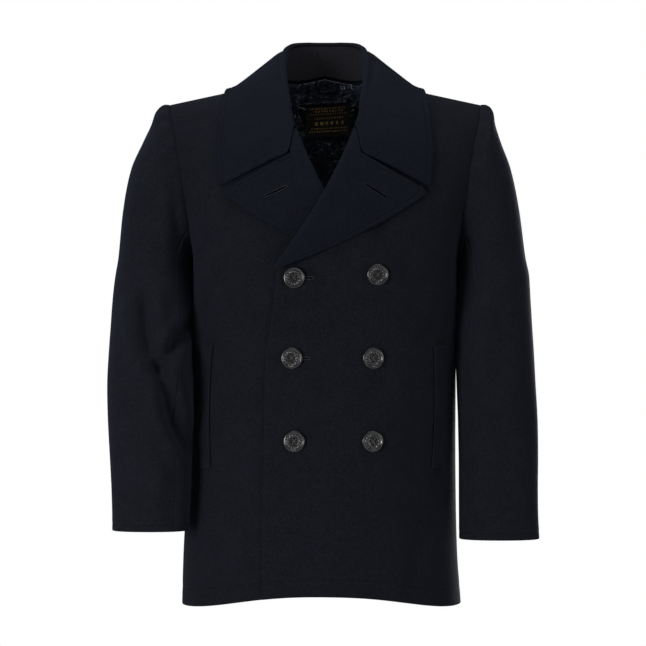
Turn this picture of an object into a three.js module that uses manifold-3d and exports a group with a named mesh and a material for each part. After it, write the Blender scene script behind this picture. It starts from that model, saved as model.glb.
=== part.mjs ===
// A double-breasted pea coat, filled out as it is worn, with no wearer inside.
// Millimetres, +X to the wearer's left, +Y to the back, +Z up.
// The origin is midway between the shoulders at the base of the neck, where the wearer carries it.
import * as THREE from "three";
import Module from "manifold-3d";

// Driving dimensions
const seamGap = 0.3; // between two pieces that are sewn together
const layGap = 0.9; // between a piece and what it lies on without a seam
const clothThickness = 2.5; // melton shell
const doubleThickness = 4.5; // collar and lapels: two layers of melton and their canvas
const liningThickness = 1;
const chestHeight = -270; // level of the underarm point
const hemSideHeight = -772;
const hemFrontRise = 21; // how much higher the hem hangs at the centre front
const sectionPower = 2.4; // of the superellipse that each level section follows
const chestPower = 3.3; // the same at the chest, where the sections are fuller at their corners
const chestFront = 140; // depth of the chest in front of the side seam
const chestBack = 130;
const shoulderTipHeight = -37.5;
const shoulderTipReach = 229;
const shoulderSlope = 0.215;
const neckRise = 30; // how much the shoulder line sweeps up towards the neck
const neckSweep = 55;
const neckDip = 0.105; // share of the shoulder height that the back neckline is cut down by
const armholeFrontShare = 0.58; // of the chest depth, at the armhole's edge
const armholeBackShare = 0.62;
const breakHeight = -281; // where the lapel's roll line starts, above the top buttons
const breakReach = 70; // how far past the centre front that point lies
const gorgeHeight = -77; // where the lapel's roll line meets the collar
const gorgeReach = 45;
const rollBow = 11; // how far the roll line bows out between the gorge and the break
const frontEdgeLow = 82; // reach of the front edge past the centre at the hem
const buttonRadius = 15;
const buttonThickness = 4.2;
const buttonHoleRadius = 1.3;
const buttonHoleOffset = 3.6; // the four holes stand in a diamond
const pocket = { x: 166, top: -392, length: 178, width: 15, thickness: 1.8 };

// Level sections of the body below the chest. The coat hangs a little to the right as it falls.
const bodySections = [
  { height: -772, halfWidth: 205.5, front: 147, back: 137, lean: -6.5 },
  { height: -700, halfWidth: 202, front: 146, back: 132, lean: -8 },
  { height: -600, halfWidth: 198.5, front: 144, back: 124, lean: -6 },
  { height: -460, halfWidth: 197, front: 142, back: 118, lean: -4 },
  { height: -360, halfWidth: 195, front: 141, back: 123, lean: -1.5 },
  { height: -300, halfWidth: 194.2, front: 140.2, back: 129, lean: -0.2 },
  { height: -270, halfWidth: 194, front: 140, back: 130, lean: 0 },
];

// Reach of the armhole edge from the centre plane, by share of the way up from underarm to shoulder
const armholeReach = [
  { share: 0, reach: 194 },
  { share: 0.13, reach: 196 },
  { share: 0.28, reach: 200 },
  { share: 0.48, reach: 208 },
  { share: 0.72, reach: 217 },
  { share: 0.9, reach: 226 },
  { share: 1, reach: 229 },
];

// Sleeve rings from the armhole round to the upper arm: where the ring's outer and inner ends lie.
// The right arm is held a little further out there, by the amount in the last column.
const sleeveHead = [
  { outX: 237, outZ: -37, inX: 196.3, inZ: -271, depth: 72, middle: 1, apart: 0 },
  { outX: 245, outZ: -41.5, inX: 197, inZ: -272.5, depth: 73, middle: 0, apart: 0 },
  { outX: 249, outZ: -50, inX: 197.2, inZ: -274.5, depth: 74, middle: -1, apart: 2 },
  { outX: 251.5, outZ: -67, inX: 197.2, inZ: -277, depth: 75, middle: -2, apart: 5 },
  { outX: 259.5, outZ: -93, inX: 197, inZ: -280, depth: 76, middle: -4, apart: 9 },
  { outX: 274, outZ: -133, inX: 196.6, inZ: -284, depth: 77, middle: -6, apart: 12 },
  { outX: 286, outZ: -192, inX: 196.1, inZ: -289, depth: 77, middle: -9, apart: 11 },
  { outX: 295, outZ: -262, inX: 195.6, inZ: -296, depth: 76, middle: -13, apart: 9 },
];

// Sleeve rings from the upper arm to the cuff, on each side
const sleeveSections = {
  right: [
    { height: -310, inX: 195, outX: 308, depth: 75, middle: -20 },
    { height: -340, inX: 195.4, outX: 311.5, depth: 73, middle: -38 },
    { height: -400, inX: 194, outX: 314.5, depth: 68, middle: -64 },
    { height: -450, inX: 191, outX: 316, depth: 63, middle: -78 },
    { height: -500, inX: 191, outX: 315, depth: 58, middle: -82 },
    { height: -560, inX: 193, outX: 311.5, depth: 52, middle: -84 },
    { height: -620, inX: 195, outX: 308.5, depth: 46, middle: -85 },
    { height: -666, inX: 197, outX: 308, depth: 42, middle: -86 },
  ],
  left: [
    { height: -310, inX: 194.4, outX: 300, depth: 75, middle: -18 },
    { height: -340, inX: 193.9, outX: 302.5, depth: 72, middle: -25 },
    { height: -400, inX: 192.3, outX: 306, depth: 67, middle: -36 },
    { height: -450, inX: 192.6, outX: 308.5, depth: 62, middle: -41 },
    { height: -500, inX: 194.5, outX: 311, depth: 57, middle: -44 },
    { height: -560, inX: 195.5, outX: 311.5, depth: 51, middle: -46 },
    { height: -620, inX: 195.5, outX: 311, depth: 46, middle: -48 },
    { height: -681, inX: 196, outX: 313, depth: 42, middle: -50 },
  ],
};

// Elbow creases of each sleeve, as lines in the front view, deepest at the middle of each
const elbowCreases = {
  right: [
    { fromX: 268, fromZ: -318, toX: 240, toZ: -436, depth: 9, width: 15 },
    { fromX: 240, fromZ: -436, toX: 203, toZ: -545, depth: 8, width: 15 },
    { fromX: 198, fromZ: -352, toX: 240, toZ: -436, depth: 7, width: 12 },
  ],
  left: [
    { fromX: 214, fromZ: -226, toX: 205, toZ: -345, depth: 5, width: 14 },
    { fromX: 262, fromZ: -330, toX: 246, toZ: -460, depth: 3.5, width: 20 },
  ],
};

// Collar: from the middle of the back (station 0) round to its front edge (station 1).
// roll = the fold at the top, edge = the outer edge, whose drop is measured down from the shoulder line.
const collarStations = [
  { station: 0, rollX: 0, rollY: 69, rollZ: 60, edgeX: 0, edgeDrop: 91.7 },
  { station: 0.06, rollX: 12.2, rollY: 68.6, rollZ: 60, edgeX: 26, edgeDrop: 79.6 },
  { station: 0.12, rollX: 24, rollY: 67, rollZ: 60, edgeX: 52, edgeDrop: 61 },
  { station: 0.24, rollX: 43, rollY: 56, rollZ: 57.5, edgeX: 95, edgeDrop: 33 },
  { station: 0.36, rollX: 54, rollY: 38, rollZ: 50, edgeX: 126, edgeDrop: 11 },
  { station: 0.46, rollX: 58, rollY: 16, rollZ: 38, edgeX: 140, edgeDrop: 0.6 },
  { station: 0.56, rollX: 59, rollY: -15, rollZ: 19, edgeX: 147, edgeDrop: 6 },
  { station: 0.67, rollX: 56.5, rollY: -47, rollZ: -6, edgeX: 151, edgeDrop: 28 },
  { station: 0.8, rollX: 52, rollY: -76, rollZ: -36, edgeX: 154, edgeDrop: 68.6 },
  { station: 0.9, rollX: 49.5, rollY: -93, rollZ: -59, edgeX: 154, edgeDrop: 103.6 },
  { station: 1, rollX: 43.5, rollY: -103, rollZ: -74.5, edgeX: 150, edgeDrop: 143.5 },
];
const notch = { x: 50.5, z: -117 }; // where collar and lapel part
const lapelStart = 0.02; // how far down the roll line the lapel's own cloth starts
const notchGap = 2.4; // half the slit between the collar's front edge and the lapel at the notch

// Outer edge of a lapel, from its tip down to the break of the roll line, in the front view
const lapelEdge = [
  { share: 0, x: 139, z: -167 },
  { share: 0.07, x: 143, z: -174 },
  { share: 0.16, x: 135, z: -182 },
  { share: 0.38, x: 101, z: -204 },
  { share: 0.6, x: 59, z: -228 },
  { share: 0.8, x: 8, z: -252 },
  { share: 1, x: -66, z: -282 },
];

const buttonPlaces = [
  { name: "button_top_inner", x: -44, z: -295 },
  { name: "button_top_outer", x: 74, z: -291 },
  { name: "button_middle_inner", x: -47, z: -410 },
  { name: "button_middle_outer", x: 68, z: -410 },
  { name: "button_low_inner", x: -43.5, z: -529 },
  { name: "button_low_outer", x: 67, z: -529 },
];

const navyMelton = new THREE.MeshStandardMaterial({ color: 0x12141f, roughness: 0.95, metalness: 0 });
const collarMelton = new THREE.MeshStandardMaterial({ color: 0x141724, roughness: 0.95, metalness: 0 });
const satinLining = new THREE.MeshStandardMaterial({ color: 0x1d2440, roughness: 0.35, metalness: 0 });
const wovenLabel = new THREE.MeshStandardMaterial({ color: 0x14160f, roughness: 0.7, metalness: 0 });
const buttonPlastic = new THREE.MeshStandardMaterial({ color: 0x2a2c30, roughness: 0.35, metalness: 0 });

// Small tools
const lerp = (a, b, t) => a + (b - a) * t;
const clamp = (t, low = 0, high = 1) => Math.min(high, Math.max(low, t));
const smooth = (t) => clamp(t) * clamp(t) * (3 - 2 * clamp(t));
const signedPower = (value, power) => Math.sign(value) * Math.pow(Math.abs(value), power);
const steps = (count) => Array.from({ length: count + 1 }, (_, i) => i / count);

// A row of the table worked out at a place between its rows, every column on a smooth curve.
function along(table, key, at) {
  const rising = table[table.length - 1][key] > table[0][key];
  const rows = rising ? table : [...table].reverse();
  const place = clamp(at, rows[0][key], rows[rows.length - 1][key]);
  let i = 0;
  while (i < rows.length - 2 && place > rows[i + 1][key]) i++;
  const [a, b] = [rows[i], rows[i + 1]];
  const [before, after] = [rows[Math.max(i - 1, 0)], rows[Math.min(i + 2, rows.length - 1)]];
  const span = b[key] - a[key];
  const t = (place - a[key]) / span;
  const made = {};
  for (const column of Object.keys(a)) {
    const slopeA = ((b[column] - before[column]) / (b[key] - before[key])) * span;
    const slopeB = ((after[column] - a[column]) / (after[key] - a[key])) * span;
    made[column] =
      (2 * t ** 3 - 3 * t ** 2 + 1) * a[column] +
      (t ** 3 - 2 * t ** 2 + t) * slopeA +
      (3 * t ** 2 - 2 * t ** 3) * b[column] +
      (t ** 3 - t ** 2) * slopeB;
  }
  return made;
}

// Moves a point to the side as far as the coat hangs there.
function hang(point) {
  point.x += along(bodySections, "height", Math.min(point.z, chestHeight)).lean;
  return point;
}

// Body form
// face is 1 on the front and -1 on the back. A level v runs from -1 at the hem through 0 at the
// chest to 1 at the shoulder seam. An angle of 0 is the side seam and a quarter turn the centre.
const shoulderHeight = (x) =>
  shoulderTipHeight +
  shoulderSlope * (shoulderTipReach - Math.abs(x)) +
  neckRise * Math.exp(-((x / neckSweep) ** 2));

const depthShare = (face, rise) =>
  face > 0 ? Math.pow(Math.max(0, 1 - rise ** 2), 0.5556) : Math.sqrt(Math.max(0, 1 - rise ** 2.6));

const riseOf = (v) => Math.sin((clamp(v) * Math.PI) / 2);

// The power of the section at a level: the greatest at the chest, easing off above and below.
function powerAt(v) {
  const near = v <= 0 ? smooth(1 + v / 0.42) : 1 - smooth(riseOf(v) / 0.55);
  return lerp(sectionPower, chestPower, near);
}

function armholeAngle(face, v) {
  if (v <= 0) return 0;
  const most = face > 0 ? armholeFrontShare : armholeBackShare;
  const share = most * Math.pow(1 - (1 - riseOf(v)) ** 5, 0.66);
  return Math.asin(Math.pow(share, powerAt(v) / 2));
}

function halfWidthAt(face, v) {
  const reach = along(armholeReach, "share", riseOf(v)).reach;
  return reach / Math.pow(Math.cos(armholeAngle(face, v)), 2 / powerAt(v));
}

// The neckline takes up this share of the back, from the centre to the armhole.
const neckShare = 0.2;
const neckAngle = neckShare * (Math.PI / 2 - armholeAngle(-1, 1));
const neckHalfWidth = halfWidthAt(-1, 1) * Math.pow(Math.sin(neckAngle), 2 / sectionPower);

// How far a point across the back is cut down by the neckline.
const neckCut = (face, x) => (face > 0 ? 0 : neckDip * Math.max(0, 1 - (x / neckHalfWidth) ** 2));

const hemHeight = (face, angle) => hemSideHeight + (face > 0 ? hemFrontRise * Math.sin(angle) ** 4 : 0);

function formPoint(face, angle, v) {
  const across = signedPower(Math.cos(angle), 2 / powerAt(v));
  const deep = Math.pow(Math.abs(Math.sin(angle)), 2 / powerAt(v));
  if (v <= 0) {
    const height = lerp(chestHeight, hemHeight(face, angle), -v);
    const section = along(bodySections, "height", height);
    const depth = face > 0 ? section.front : section.back;
    return new THREE.Vector3(section.halfWidth * across, -face * depth * deep, height);
  }
  const x = halfWidthAt(face, v) * across;
  const rise = riseOf(v) * (1 - neckCut(face, x));
  const depth = (face > 0 ? chestFront : chestBack) * depthShare(face, rise);
  return new THREE.Vector3(x, -face * depth * deep, lerp(chestHeight, shoulderHeight(x), rise));
}

// The outward normal of the body form, from short steps along it.
function formNormal(face, angle, v) {
  const step = 1e-3;
  const acrossStep = formPoint(face, angle + step, v).sub(formPoint(face, Math.max(angle - step, 0), v));
  const upStep = formPoint(face, angle, Math.min(v + step, 1)).sub(formPoint(face, angle, v - step));
  return acrossStep.cross(upStep).multiplyScalar(-face).normalize();
}

// A point of the body form moved out by some distance.
const bodyPoint = (face, angle, v, out) =>
  formPoint(face, angle, v).addScaledVector(formNormal(face, angle, v), out);

// The angle and level of the form that lies behind a place in the front view.
function formPlace(face, x, z) {
  let v = 0;
  if (z <= chestHeight) {
    v = -(chestHeight - z) / (chestHeight - hemSideHeight);
  } else {
    const cut = neckCut(face, x);
    const rise = clamp((z - chestHeight) / (shoulderHeight(x) - chestHeight) / (1 - cut));
    v = Math.asin(rise) / (Math.PI / 2);
  }
  for (let i = 0; i < 3; i++) {
    const halfWidth = v <= 0 ? along(bodySections, "height", z).halfWidth : halfWidthAt(face, v);
    const angle = Math.acos(clamp(signedPower(x / halfWidth, powerAt(v) / 2), -1, 1));
    if (v > 0) return { angle, v };
    v = -(chestHeight - z) / (chestHeight - hemHeight(face, angle));
    if (i === 2) return { angle, v };
  }
}

const placedPoint = (face, x, z, out) => {
  const place = formPlace(face, x, z);
  return bodyPoint(face, place.angle, place.v, out);
};

// Solids
// A closed wall between two grids of points of one size: outer[i][j] faces inner[i][j].
function wall(name, outer, inner, material) {
  const rows = outer.length;
  const columns = outer[0].length;
  const positions = [...outer.flat(), ...inner.flat()].flatMap((p) => [p.x, p.y, p.z]);
  const index = [];
  const at = (layer, i, j) => layer * rows * columns + i * columns + j;
  const quad = (a, b, c, d) => index.push(a, b, c, a, c, d);
  for (let i = 0; i < rows - 1; i++)
    for (let j = 0; j < columns - 1; j++) {
      quad(at(0, i, j), at(0, i, j + 1), at(0, i + 1, j + 1), at(0, i + 1, j));
      quad(at(1, i, j), at(1, i + 1, j), at(1, i + 1, j + 1), at(1, i, j + 1));
    }
  for (let j = 0; j < columns - 1; j++) {
    quad(at(0, 0, j), at(1, 0, j), at(1, 0, j + 1), at(0, 0, j + 1));
    quad(at(0, rows - 1, j), at(0, rows - 1, j + 1), at(1, rows - 1, j + 1), at(1, rows - 1, j));
  }
  for (let i = 0; i < rows - 1; i++) {
    quad(at(0, i, 0), at(0, i + 1, 0), at(1, i + 1, 0), at(1, i, 0));
    quad(at(0, i, columns - 1), at(1, i, columns - 1), at(1, i + 1, columns - 1), at(0, i + 1, columns - 1));
  }
  return closedMesh(name, positions, index, material);
}

// A mesh whose faces are turned outwards by the sign of its volume.
function closedMesh(name, positions, index, material) {
  let volume = 0;
  const point = (i) => new THREE.Vector3(...positions.slice(3 * i, 3 * i + 3));
  for (let i = 0; i < index.length; i += 3)
    volume += point(index[i]).dot(point(index[i + 1]).cross(point(index[i + 2])));
  if (volume < 0) index.reverse();
  const geometry = new THREE.BufferGeometry();
  geometry.setAttribute("position", new THREE.Float32BufferAttribute(positions, 3));
  geometry.setIndex(index);
  geometry.computeVertexNormals();
  const mesh = new THREE.Mesh(geometry, material);
  mesh.name = name;
  return mesh;
}

const gridOf = (rowCount, columnCount, make) =>
  steps(rowCount).map((s, i) => steps(columnCount).map((t, j) => make(s, t, i, j)));

// Front panels
// side is 1 for the wearer's left front, which lies on top, and -1 for the right one under it.
const underThickness = clothThickness + layGap;

// Reach of a front panel's inner edge past the centre: its front edge below the break of the
// roll line, that roll line up to the gorge, and the neckline above it.
function innerReach(z) {
  if (z <= breakHeight) {
    const down = (breakHeight - z) / (breakHeight - hemSideHeight - hemFrontRise);
    return -lerp(breakReach, frontEdgeLow, smooth(clamp(down * 6)));
  }
  if (z <= gorgeHeight) {
    const share = (z - breakHeight) / (gorgeHeight - breakHeight);
    return lerp(-breakReach, gorgeReach, share) + rollBow * Math.sin(Math.PI * share);
  }
  const up = clamp((z - gorgeHeight) / (shoulderHeight(neckHalfWidth) - gorgeHeight));
  return lerp(gorgeReach, neckHalfWidth, up ** 0.5);
}

// How far a place lies inside the right lapel, from its roll line and from its lower edge.
function rightLapelCover(x, z, spread = 0) {
  const insideRoll = -innerReach(z) - x;
  const insideEdge = z - along(lapelEdge.slice(1), "x", -x).z;
  const fromRoll = smooth((insideRoll + 56 + spread) / (34 + spread / 2));
  return fromRoll * smooth((insideEdge + 42 + spread) / (34 + spread / 2));
}

// Height of the outer face of a front panel above the body form. A spread makes it rise earlier,
// as a stiff piece that lies across it does.
function frontOut(side, x, z, spread = 0) {
  if (side < 0) return 0;
  const overFront = underThickness * smooth((-innerReach(z) + 54 + spread - x) / 36);
  return overFront + (doubleThickness + layGap + 1.3) * rightLapelCover(x, z, spread);
}

// Levels of the rings of the body above the chest, shared by panels and sleeves.
const ringLevels = [0, 0.012, 0.035, 0.07, 0.12, 0.18, 0.25, 0.33, 0.41, 0.5, 0.6, 0.7, 0.8, 0.9, 0.96, 1];
const frontLevels = [-1, -0.88, -0.75, -0.62, -0.49, -0.36, -0.24, -0.14, -0.07, -0.03, ...ringLevels];
const frontColumns = 13;

function frontPoint(side, across, v, layer) {
  let x = -80;
  let z = 0;
  for (let i = 0; i < 14; i++) {
    const end = v > 0 ? shoulderHeight(x) : hemHeight(1, Math.PI / 2);
    z = lerp(chestHeight, end, v > 0 ? riseOf(v) : -v);
    x = lerp(x, innerReach(z), 0.7);
  }
  const halfWidth = v <= 0 ? along(bodySections, "height", z).halfWidth : halfWidthAt(1, v);
  const innerAngle = Math.acos(clamp(signedPower(x / halfWidth, powerAt(v) / 2), -1, 1));
  const angle = lerp(innerAngle, armholeAngle(1, v), across);
  const base = formPoint(1, angle, v);
  const out = frontOut(side, base.x, base.z) - layer * clothThickness;
  const point = base.addScaledVector(formNormal(1, angle, v), out);
  if (across === 1 && v <= 0) point.y -= seamGap / 2;
  if (v === 1) point.y -= seamGap / 2;
  point.x *= side;
  return hang(point);
}

function frontPanel(name, side) {
  const columns = steps(frontColumns);
  const grid = (layer) => frontLevels.map((v) => columns.map((across) => frontPoint(side, across, v, layer)));
  return wall(name, grid(0), grid(1), navyMelton);
}

// Back panels, joined by a seam down the middle
const backLevels = [-1, -0.86, -0.72, -0.58, -0.44, -0.3, -0.15, ...ringLevels];
const backColumns = 18;

// across runs from -1 at the right side seam or armhole to 1 at the left one.
function backPoint(across, v, out) {
  const angle = lerp(Math.PI / 2, armholeAngle(-1, v), Math.abs(across));
  const point = bodyPoint(-1, angle, v, out);
  if (Math.abs(across) === 1 && v <= 0) point.y += seamGap / 2;
  if (v === 1 && Math.abs(across) > 0.19) point.y += seamGap / 2;
  point.x *= Math.sign(across) || 1;
  return hang(point);
}

function backPanel(name, side) {
  const columns = steps(backColumns / 2).map((s) => (side > 0 ? s : s - 1));
  const point = (across, v, out) => {
    const made = backPoint(across, v, out);
    if (across === 0) made.x += (side * seamGap) / 2;
    return made;
  };
  const grid = (out) => backLevels.map((v) => columns.map((across) => point(across, v, out)));
  return wall(name, grid(0), grid(-clothThickness), navyMelton);
}

// Back lining, laid on the inside of the back from the neck to above the hem. It uses the back's
// own levels and columns, so that the two lie side by side everywhere.
const liningOut = -clothThickness - seamGap - 0.32;

function backLining() {
  const levels = [-0.95, ...backLevels.filter((v) => v > -0.9 && v <= 0.96)];
  const columns = steps(backColumns).filter((s) => Math.abs(2 * s - 1) < 0.95);
  const grid = (layer) =>
    levels.map((v) => columns.map((s) => backPoint(2 * s - 1, v, liningOut - layer * liningThickness)));
  return wall("lining_back", grid(0), grid(1), satinLining);
}

// The point where a level line through the coat, straight to the back, meets a piece from inside.
function onPiece(mesh, x, z, away) {
  const ray = new THREE.Raycaster(new THREE.Vector3(x, 0, z), new THREE.Vector3(0, 1, 0));
  const hit = ray.intersectObject(mesh)[0];
  return hit.point.addScaledVector(hit.face.normal, away);
}

// Label, sewn flat on the lining below the neck
function neckLabel(lining) {
  const point = (s, t, away) => {
    const x = lerp(-31, 42, t);
    return onPiece(lining, x, lerp(-79, -31, s) + 0.05 * x, away);
  };
  const near = gridOf(4, 6, (s, t) => point(s, t, seamGap + 0.1));
  const face = gridOf(4, 6, (s, t) => point(s, t, seamGap + 0.1 + liningThickness));
  return wall("label", near, face, wovenLabel);
}

// Hanger loop: a band whose ends go into the neck seam
const loopPath = [
  { x: -18.2, z: -0.8 },
  { x: -17.5, z: -7 },
  { x: -11, z: -12.5 },
  { x: -1, z: -15 },
  { x: 9, z: -15.5 },
  { x: 18, z: -13.6 },
  { x: 26.5, z: -9 },
  { x: 29, z: -3.8 },
];
const loopWidth = 6.5;
const loopThickness = 1.4;

function hangerLoop(lining) {
  const curve = new THREE.CatmullRomCurve3(loopPath.map((p) => new THREE.Vector3(p.x, 0, p.z)));
  const band = (away) =>
    steps(14).map((t) => {
      const [at, tangent] = [curve.getPointAt(t), curve.getTangentAt(t)];
      return [-0.5, 0, 0.5].map((side) => {
        const x = at.x - tangent.z * side * loopWidth;
        const z = at.z + tangent.x * side * loopWidth;
        return onPiece(lining, x, z, away + 1.6 * Math.sin(Math.PI * t));
      });
    });
  return wall("hanger_loop", band(0.8), band(0.8 + loopThickness), satinLining);
}

// Sleeves
// A turn of 0 is the outside of the arm, a quarter the front, a half the inside by the body.
const turnOfLevel = (v) => Math.acos(clamp(2 * riseOf(v) - 1, -1, 1)) / (2 * Math.PI);

function armholePoint(turn, out) {
  const face = turn <= 0.5 ? 1 : -1;
  const rise = clamp((1 + Math.cos(turn * 2 * Math.PI)) / 2);
  const v = Math.asin(rise) / (Math.PI / 2);
  return bodyPoint(face, armholeAngle(face, v), v, out);
}

// The armhole seam as the sleeve meets it: a gap away from the body's panels. At the underarm the
// sleeve's cloth turns over the top of the panels, so that its inside faces up there.
function sleeveStart(turn, inside) {
  const rise = (1 + Math.cos(turn * 2 * Math.PI)) / 2;
  const under = 1 - smooth(rise / 0.22);
  const point = armholePoint(turn, 0).add(new THREE.Vector3(seamGap + 0.2, 0, 0.6 * under));
  if (!inside) return point;
  const inward = armholePoint(turn, -1).sub(armholePoint(turn, 0));
  const up = new THREE.Vector3(-0.25, 0, 1);
  return point.addScaledVector(inward.lerp(up, under).normalize(), clothThickness);
}

function ringPoint(ring, turn) {
  const angle = turn * 2 * Math.PI;
  const along01 = (1 - signedPower(Math.cos(angle), 0.92)) / 2;
  return new THREE.Vector3(
    lerp(ring.outX, ring.inX, along01),
    ring.middle - ring.depth * signedPower(Math.sin(angle), 0.92),
    lerp(ring.outZ, ring.inZ, along01),
  );
}

function sleeveRings(side) {
  const table = sleeveSections[side];
  const last = table[table.length - 1].height;
  const heights = [-310, -326, -345, -365, -385, -405, -425, -445, -468, -495, -525, -560, -600, -640, last];
  const tube = heights.map((height) => {
    const row = along(table, "height", height);
    const tilt = 22 * (1 - smooth((-310 - height) / 60));
    return { ...row, outZ: height + tilt, inZ: height };
  });
  const head = sleeveHead.map((row) => ({ ...row, outX: row.outX + (side === "right" ? row.apart : 0) }));
  return [...head, ...tube];
}

// How deep the elbow creases press a place of the sleeve in, seen from the front.
function creaseDepth(side, x, z) {
  return elbowCreases[side].reduce((sum, crease) => {
    const [dx, dz] = [crease.toX - crease.fromX, crease.toZ - crease.fromZ];
    const t = ((x - crease.fromX) * dx + (z - crease.fromZ) * dz) / (dx * dx + dz * dz);
    const s = clamp(t);
    const away = Math.hypot(x - crease.fromX - s * dx, z - crease.fromZ - s * dz);
    return Math.max(sum, crease.depth * Math.exp(-((away / crease.width) ** 2)));
  }, 0);
}

// The ring that the armhole stands for, so that the first rings can follow the armhole's true shape
const startRing = { outX: 229, outZ: shoulderTipHeight, inX: 194, inZ: chestHeight, depth: 70, middle: 2 };

// One ring after another, from the armhole (ring 0) to the cuff, on the outside of the cloth.
function sleeveSurface(side, turns) {
  const rings = sleeveRings(side);
  const blendRings = 5;
  const surface = [turns.map((turn) => sleeveStart(turn, false))];
  rings.forEach((ring, k) => {
    const free = smooth((k + 1) / blendRings);
    surface.push(
      turns.map((turn) => {
        const made = ringPoint(ring, turn);
        const start = ringPoint(startRing, turn);
        const shift = armholePoint(turn, 0).sub(start).multiplyScalar(1 - free);
        made.add(shift);
        const front = Math.sin(turn * 2 * Math.PI);
        if (front > 0 && k > 6) {
          const press = creaseDepth(side, made.x, made.z) * Math.sqrt(front);
          const middle = new THREE.Vector3((ring.outX + ring.inX) / 2, ring.middle, made.z);
          made.addScaledVector(middle.sub(made).normalize(), press);
        }
        return made;
      }),
    );
  });
  return surface;
}

// Normals of a grid of points, from its neighbours, turned away from the sleeve's middle line.
function gridNormals(grid) {
  return grid.map((row, i) =>
    row.map((point, j) => {
      const down = grid[Math.min(i + 1, grid.length - 1)][j].clone().sub(grid[Math.max(i - 1, 0)][j]);
      const round = row[Math.min(j + 1, row.length - 1)].clone().sub(row[Math.max(j - 1, 0)]);
      return down.cross(round).normalize();
    }),
  );
}

// The turns of the sleeve's lengthwise lines, at the levels of the body's rings, front and back
const frontTurns = ringLevels.map(turnOfLevel).reverse();
const allTurns = [...frontTurns.slice(0, -1), ...frontTurns.map((turn) => 1 - turn).reverse()];

function sleevePiece(name, side, first, last) {
  const picked = [];
  for (let i = first - 1; i <= last + 1; i++) {
    const lap = Math.floor(i / (allTurns.length - 1));
    picked.push(allTurns[i - lap * (allTurns.length - 1)]);
  }
  const outer = sleeveSurface(side, picked);
  const normals = gridNormals(outer);
  const rings = sleeveRings(side);
  const inner = outer.map((row, i) =>
    row.map((point, j) => {
      if (i === 0) return sleeveStart(picked[j], true);
      const ring = rings[i - 1];
      const middle = new THREE.Vector3((ring.outX + ring.inX) / 2, ring.middle, (ring.outZ + ring.inZ) / 2);
      const normal = normals[i][j];
      const inward = normal.dot(middle.sub(point)) > 0 ? 1 : -1;
      return point.clone().addScaledVector(normal, inward * clothThickness);
    }),
  );
  const mirror = side === "right" ? -1 : 1;
  const trim = (grid) =>
    grid.map((row) => {
      const kept = row.slice(1, -1).map((point) => point.clone());
      for (const [end, next] of [
        [0, 1],
        [kept.length - 1, kept.length - 2],
      ]) {
        const step = kept[next].clone().sub(kept[end]);
        kept[end].addScaledVector(step.normalize(), 0.2);
      }
      return kept.map((point) => point.setX(point.x * mirror));
    });
  return wall(name, trim(outer), trim(inner), navyMelton);
}

// Lapels
// A Coons patch in the front view: roll line, top edge with the notch, outer edge, and the break.
function lapelPlace(down, out) {
  const roll = (t) => {
    const share = lerp(lapelStart, 1, t);
    const bow = rollBow * Math.sin(Math.PI * share);
    return { x: lerp(gorgeReach, -breakReach, share) + bow, z: lerp(gorgeHeight, breakHeight, share) };
  };
  const edge = (t) => along(lapelEdge, "share", t);
  const notchShare = 0.25;
  const top = (t) => {
    const from = t < notchShare ? roll(0) : notch;
    const to = t < notchShare ? notch : edge(0);
    const share = t < notchShare ? t / notchShare : (t - notchShare) / (1 - notchShare);
    return { x: lerp(from.x, to.x, share), z: lerp(from.z, to.z, share) };
  };
  const foot = (t) => ({ x: lerp(roll(1).x, edge(1).x, t), z: lerp(roll(1).z, edge(1).z, t) });
  const patch = (axis) => {
    const sides = lerp(roll(down)[axis], edge(down)[axis], out);
    const ends = lerp(top(out)[axis], foot(out)[axis], down);
    const topCorners = lerp(roll(0)[axis], edge(0)[axis], out);
    const footCorners = lerp(roll(1)[axis], edge(1)[axis], out);
    return sides + ends - lerp(topCorners, footCorners, down);
  };
  return { x: patch("x"), z: patch("z") };
}

// Gap between the lapel's under face and the panel that it lies on: a soft roll near the fold,
// and on the left side room for the button that the lapel's foot passes over.
function lapelLift(side, down, out, place) {
  const roll = Math.max(0, Math.sin(Math.PI * clamp(out * 1.15) ** 0.6));
  const covered = side < 0 ? rightLapelCover(-place.x, place.z) : 0;
  const near = Math.hypot(place.x + 44, place.z + 287);
  const overButton = side > 0 ? 6 * smooth((62 - near) / 40) : 0;
  return layGap + 2.4 * roll * (1 - 0.5 * down) * (1 - covered) + overButton;
}

function lapelPoint(side, down, out, layer) {
  const place = lapelPlace(down, out);
  const lift = lapelLift(side, down, out, place) + layer * doubleThickness;
  const point = placedPoint(1, place.x, place.z, frontOut(side, place.x, place.z, 16) + lift);
  point.x *= side;
  return hang(point);
}

const lapelDowns = [0, 0.07, 0.16, 0.28, 0.4, 0.52, 0.64, 0.75, 0.85, 0.93, 1];
const lapelOuts = [0.04, 0.13, 0.25, 0.4, 0.56, 0.72, 0.86, 0.95, 1];

// The fold of the lapel wraps the edge of its front panel in these steps: past the roll line and
// out from the panel's outer face, for the outside and the inside of the cloth.
const foldSteps = [
  { past: 2.4, out: -2.4, innerPast: 0.35, innerOut: -2.4 },
  { past: 3.1, out: 0.2, innerPast: 0.4, innerOut: -0.9 },
  { past: 2.2, out: 2.9, innerPast: 0.35, innerOut: 0.4 },
];

const rollLength = Math.hypot(gorgeReach + breakReach, gorgeHeight - breakHeight);
const rollNormal = { x: (gorgeHeight - breakHeight) / rollLength, z: (gorgeReach + breakReach) / rollLength };

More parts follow.
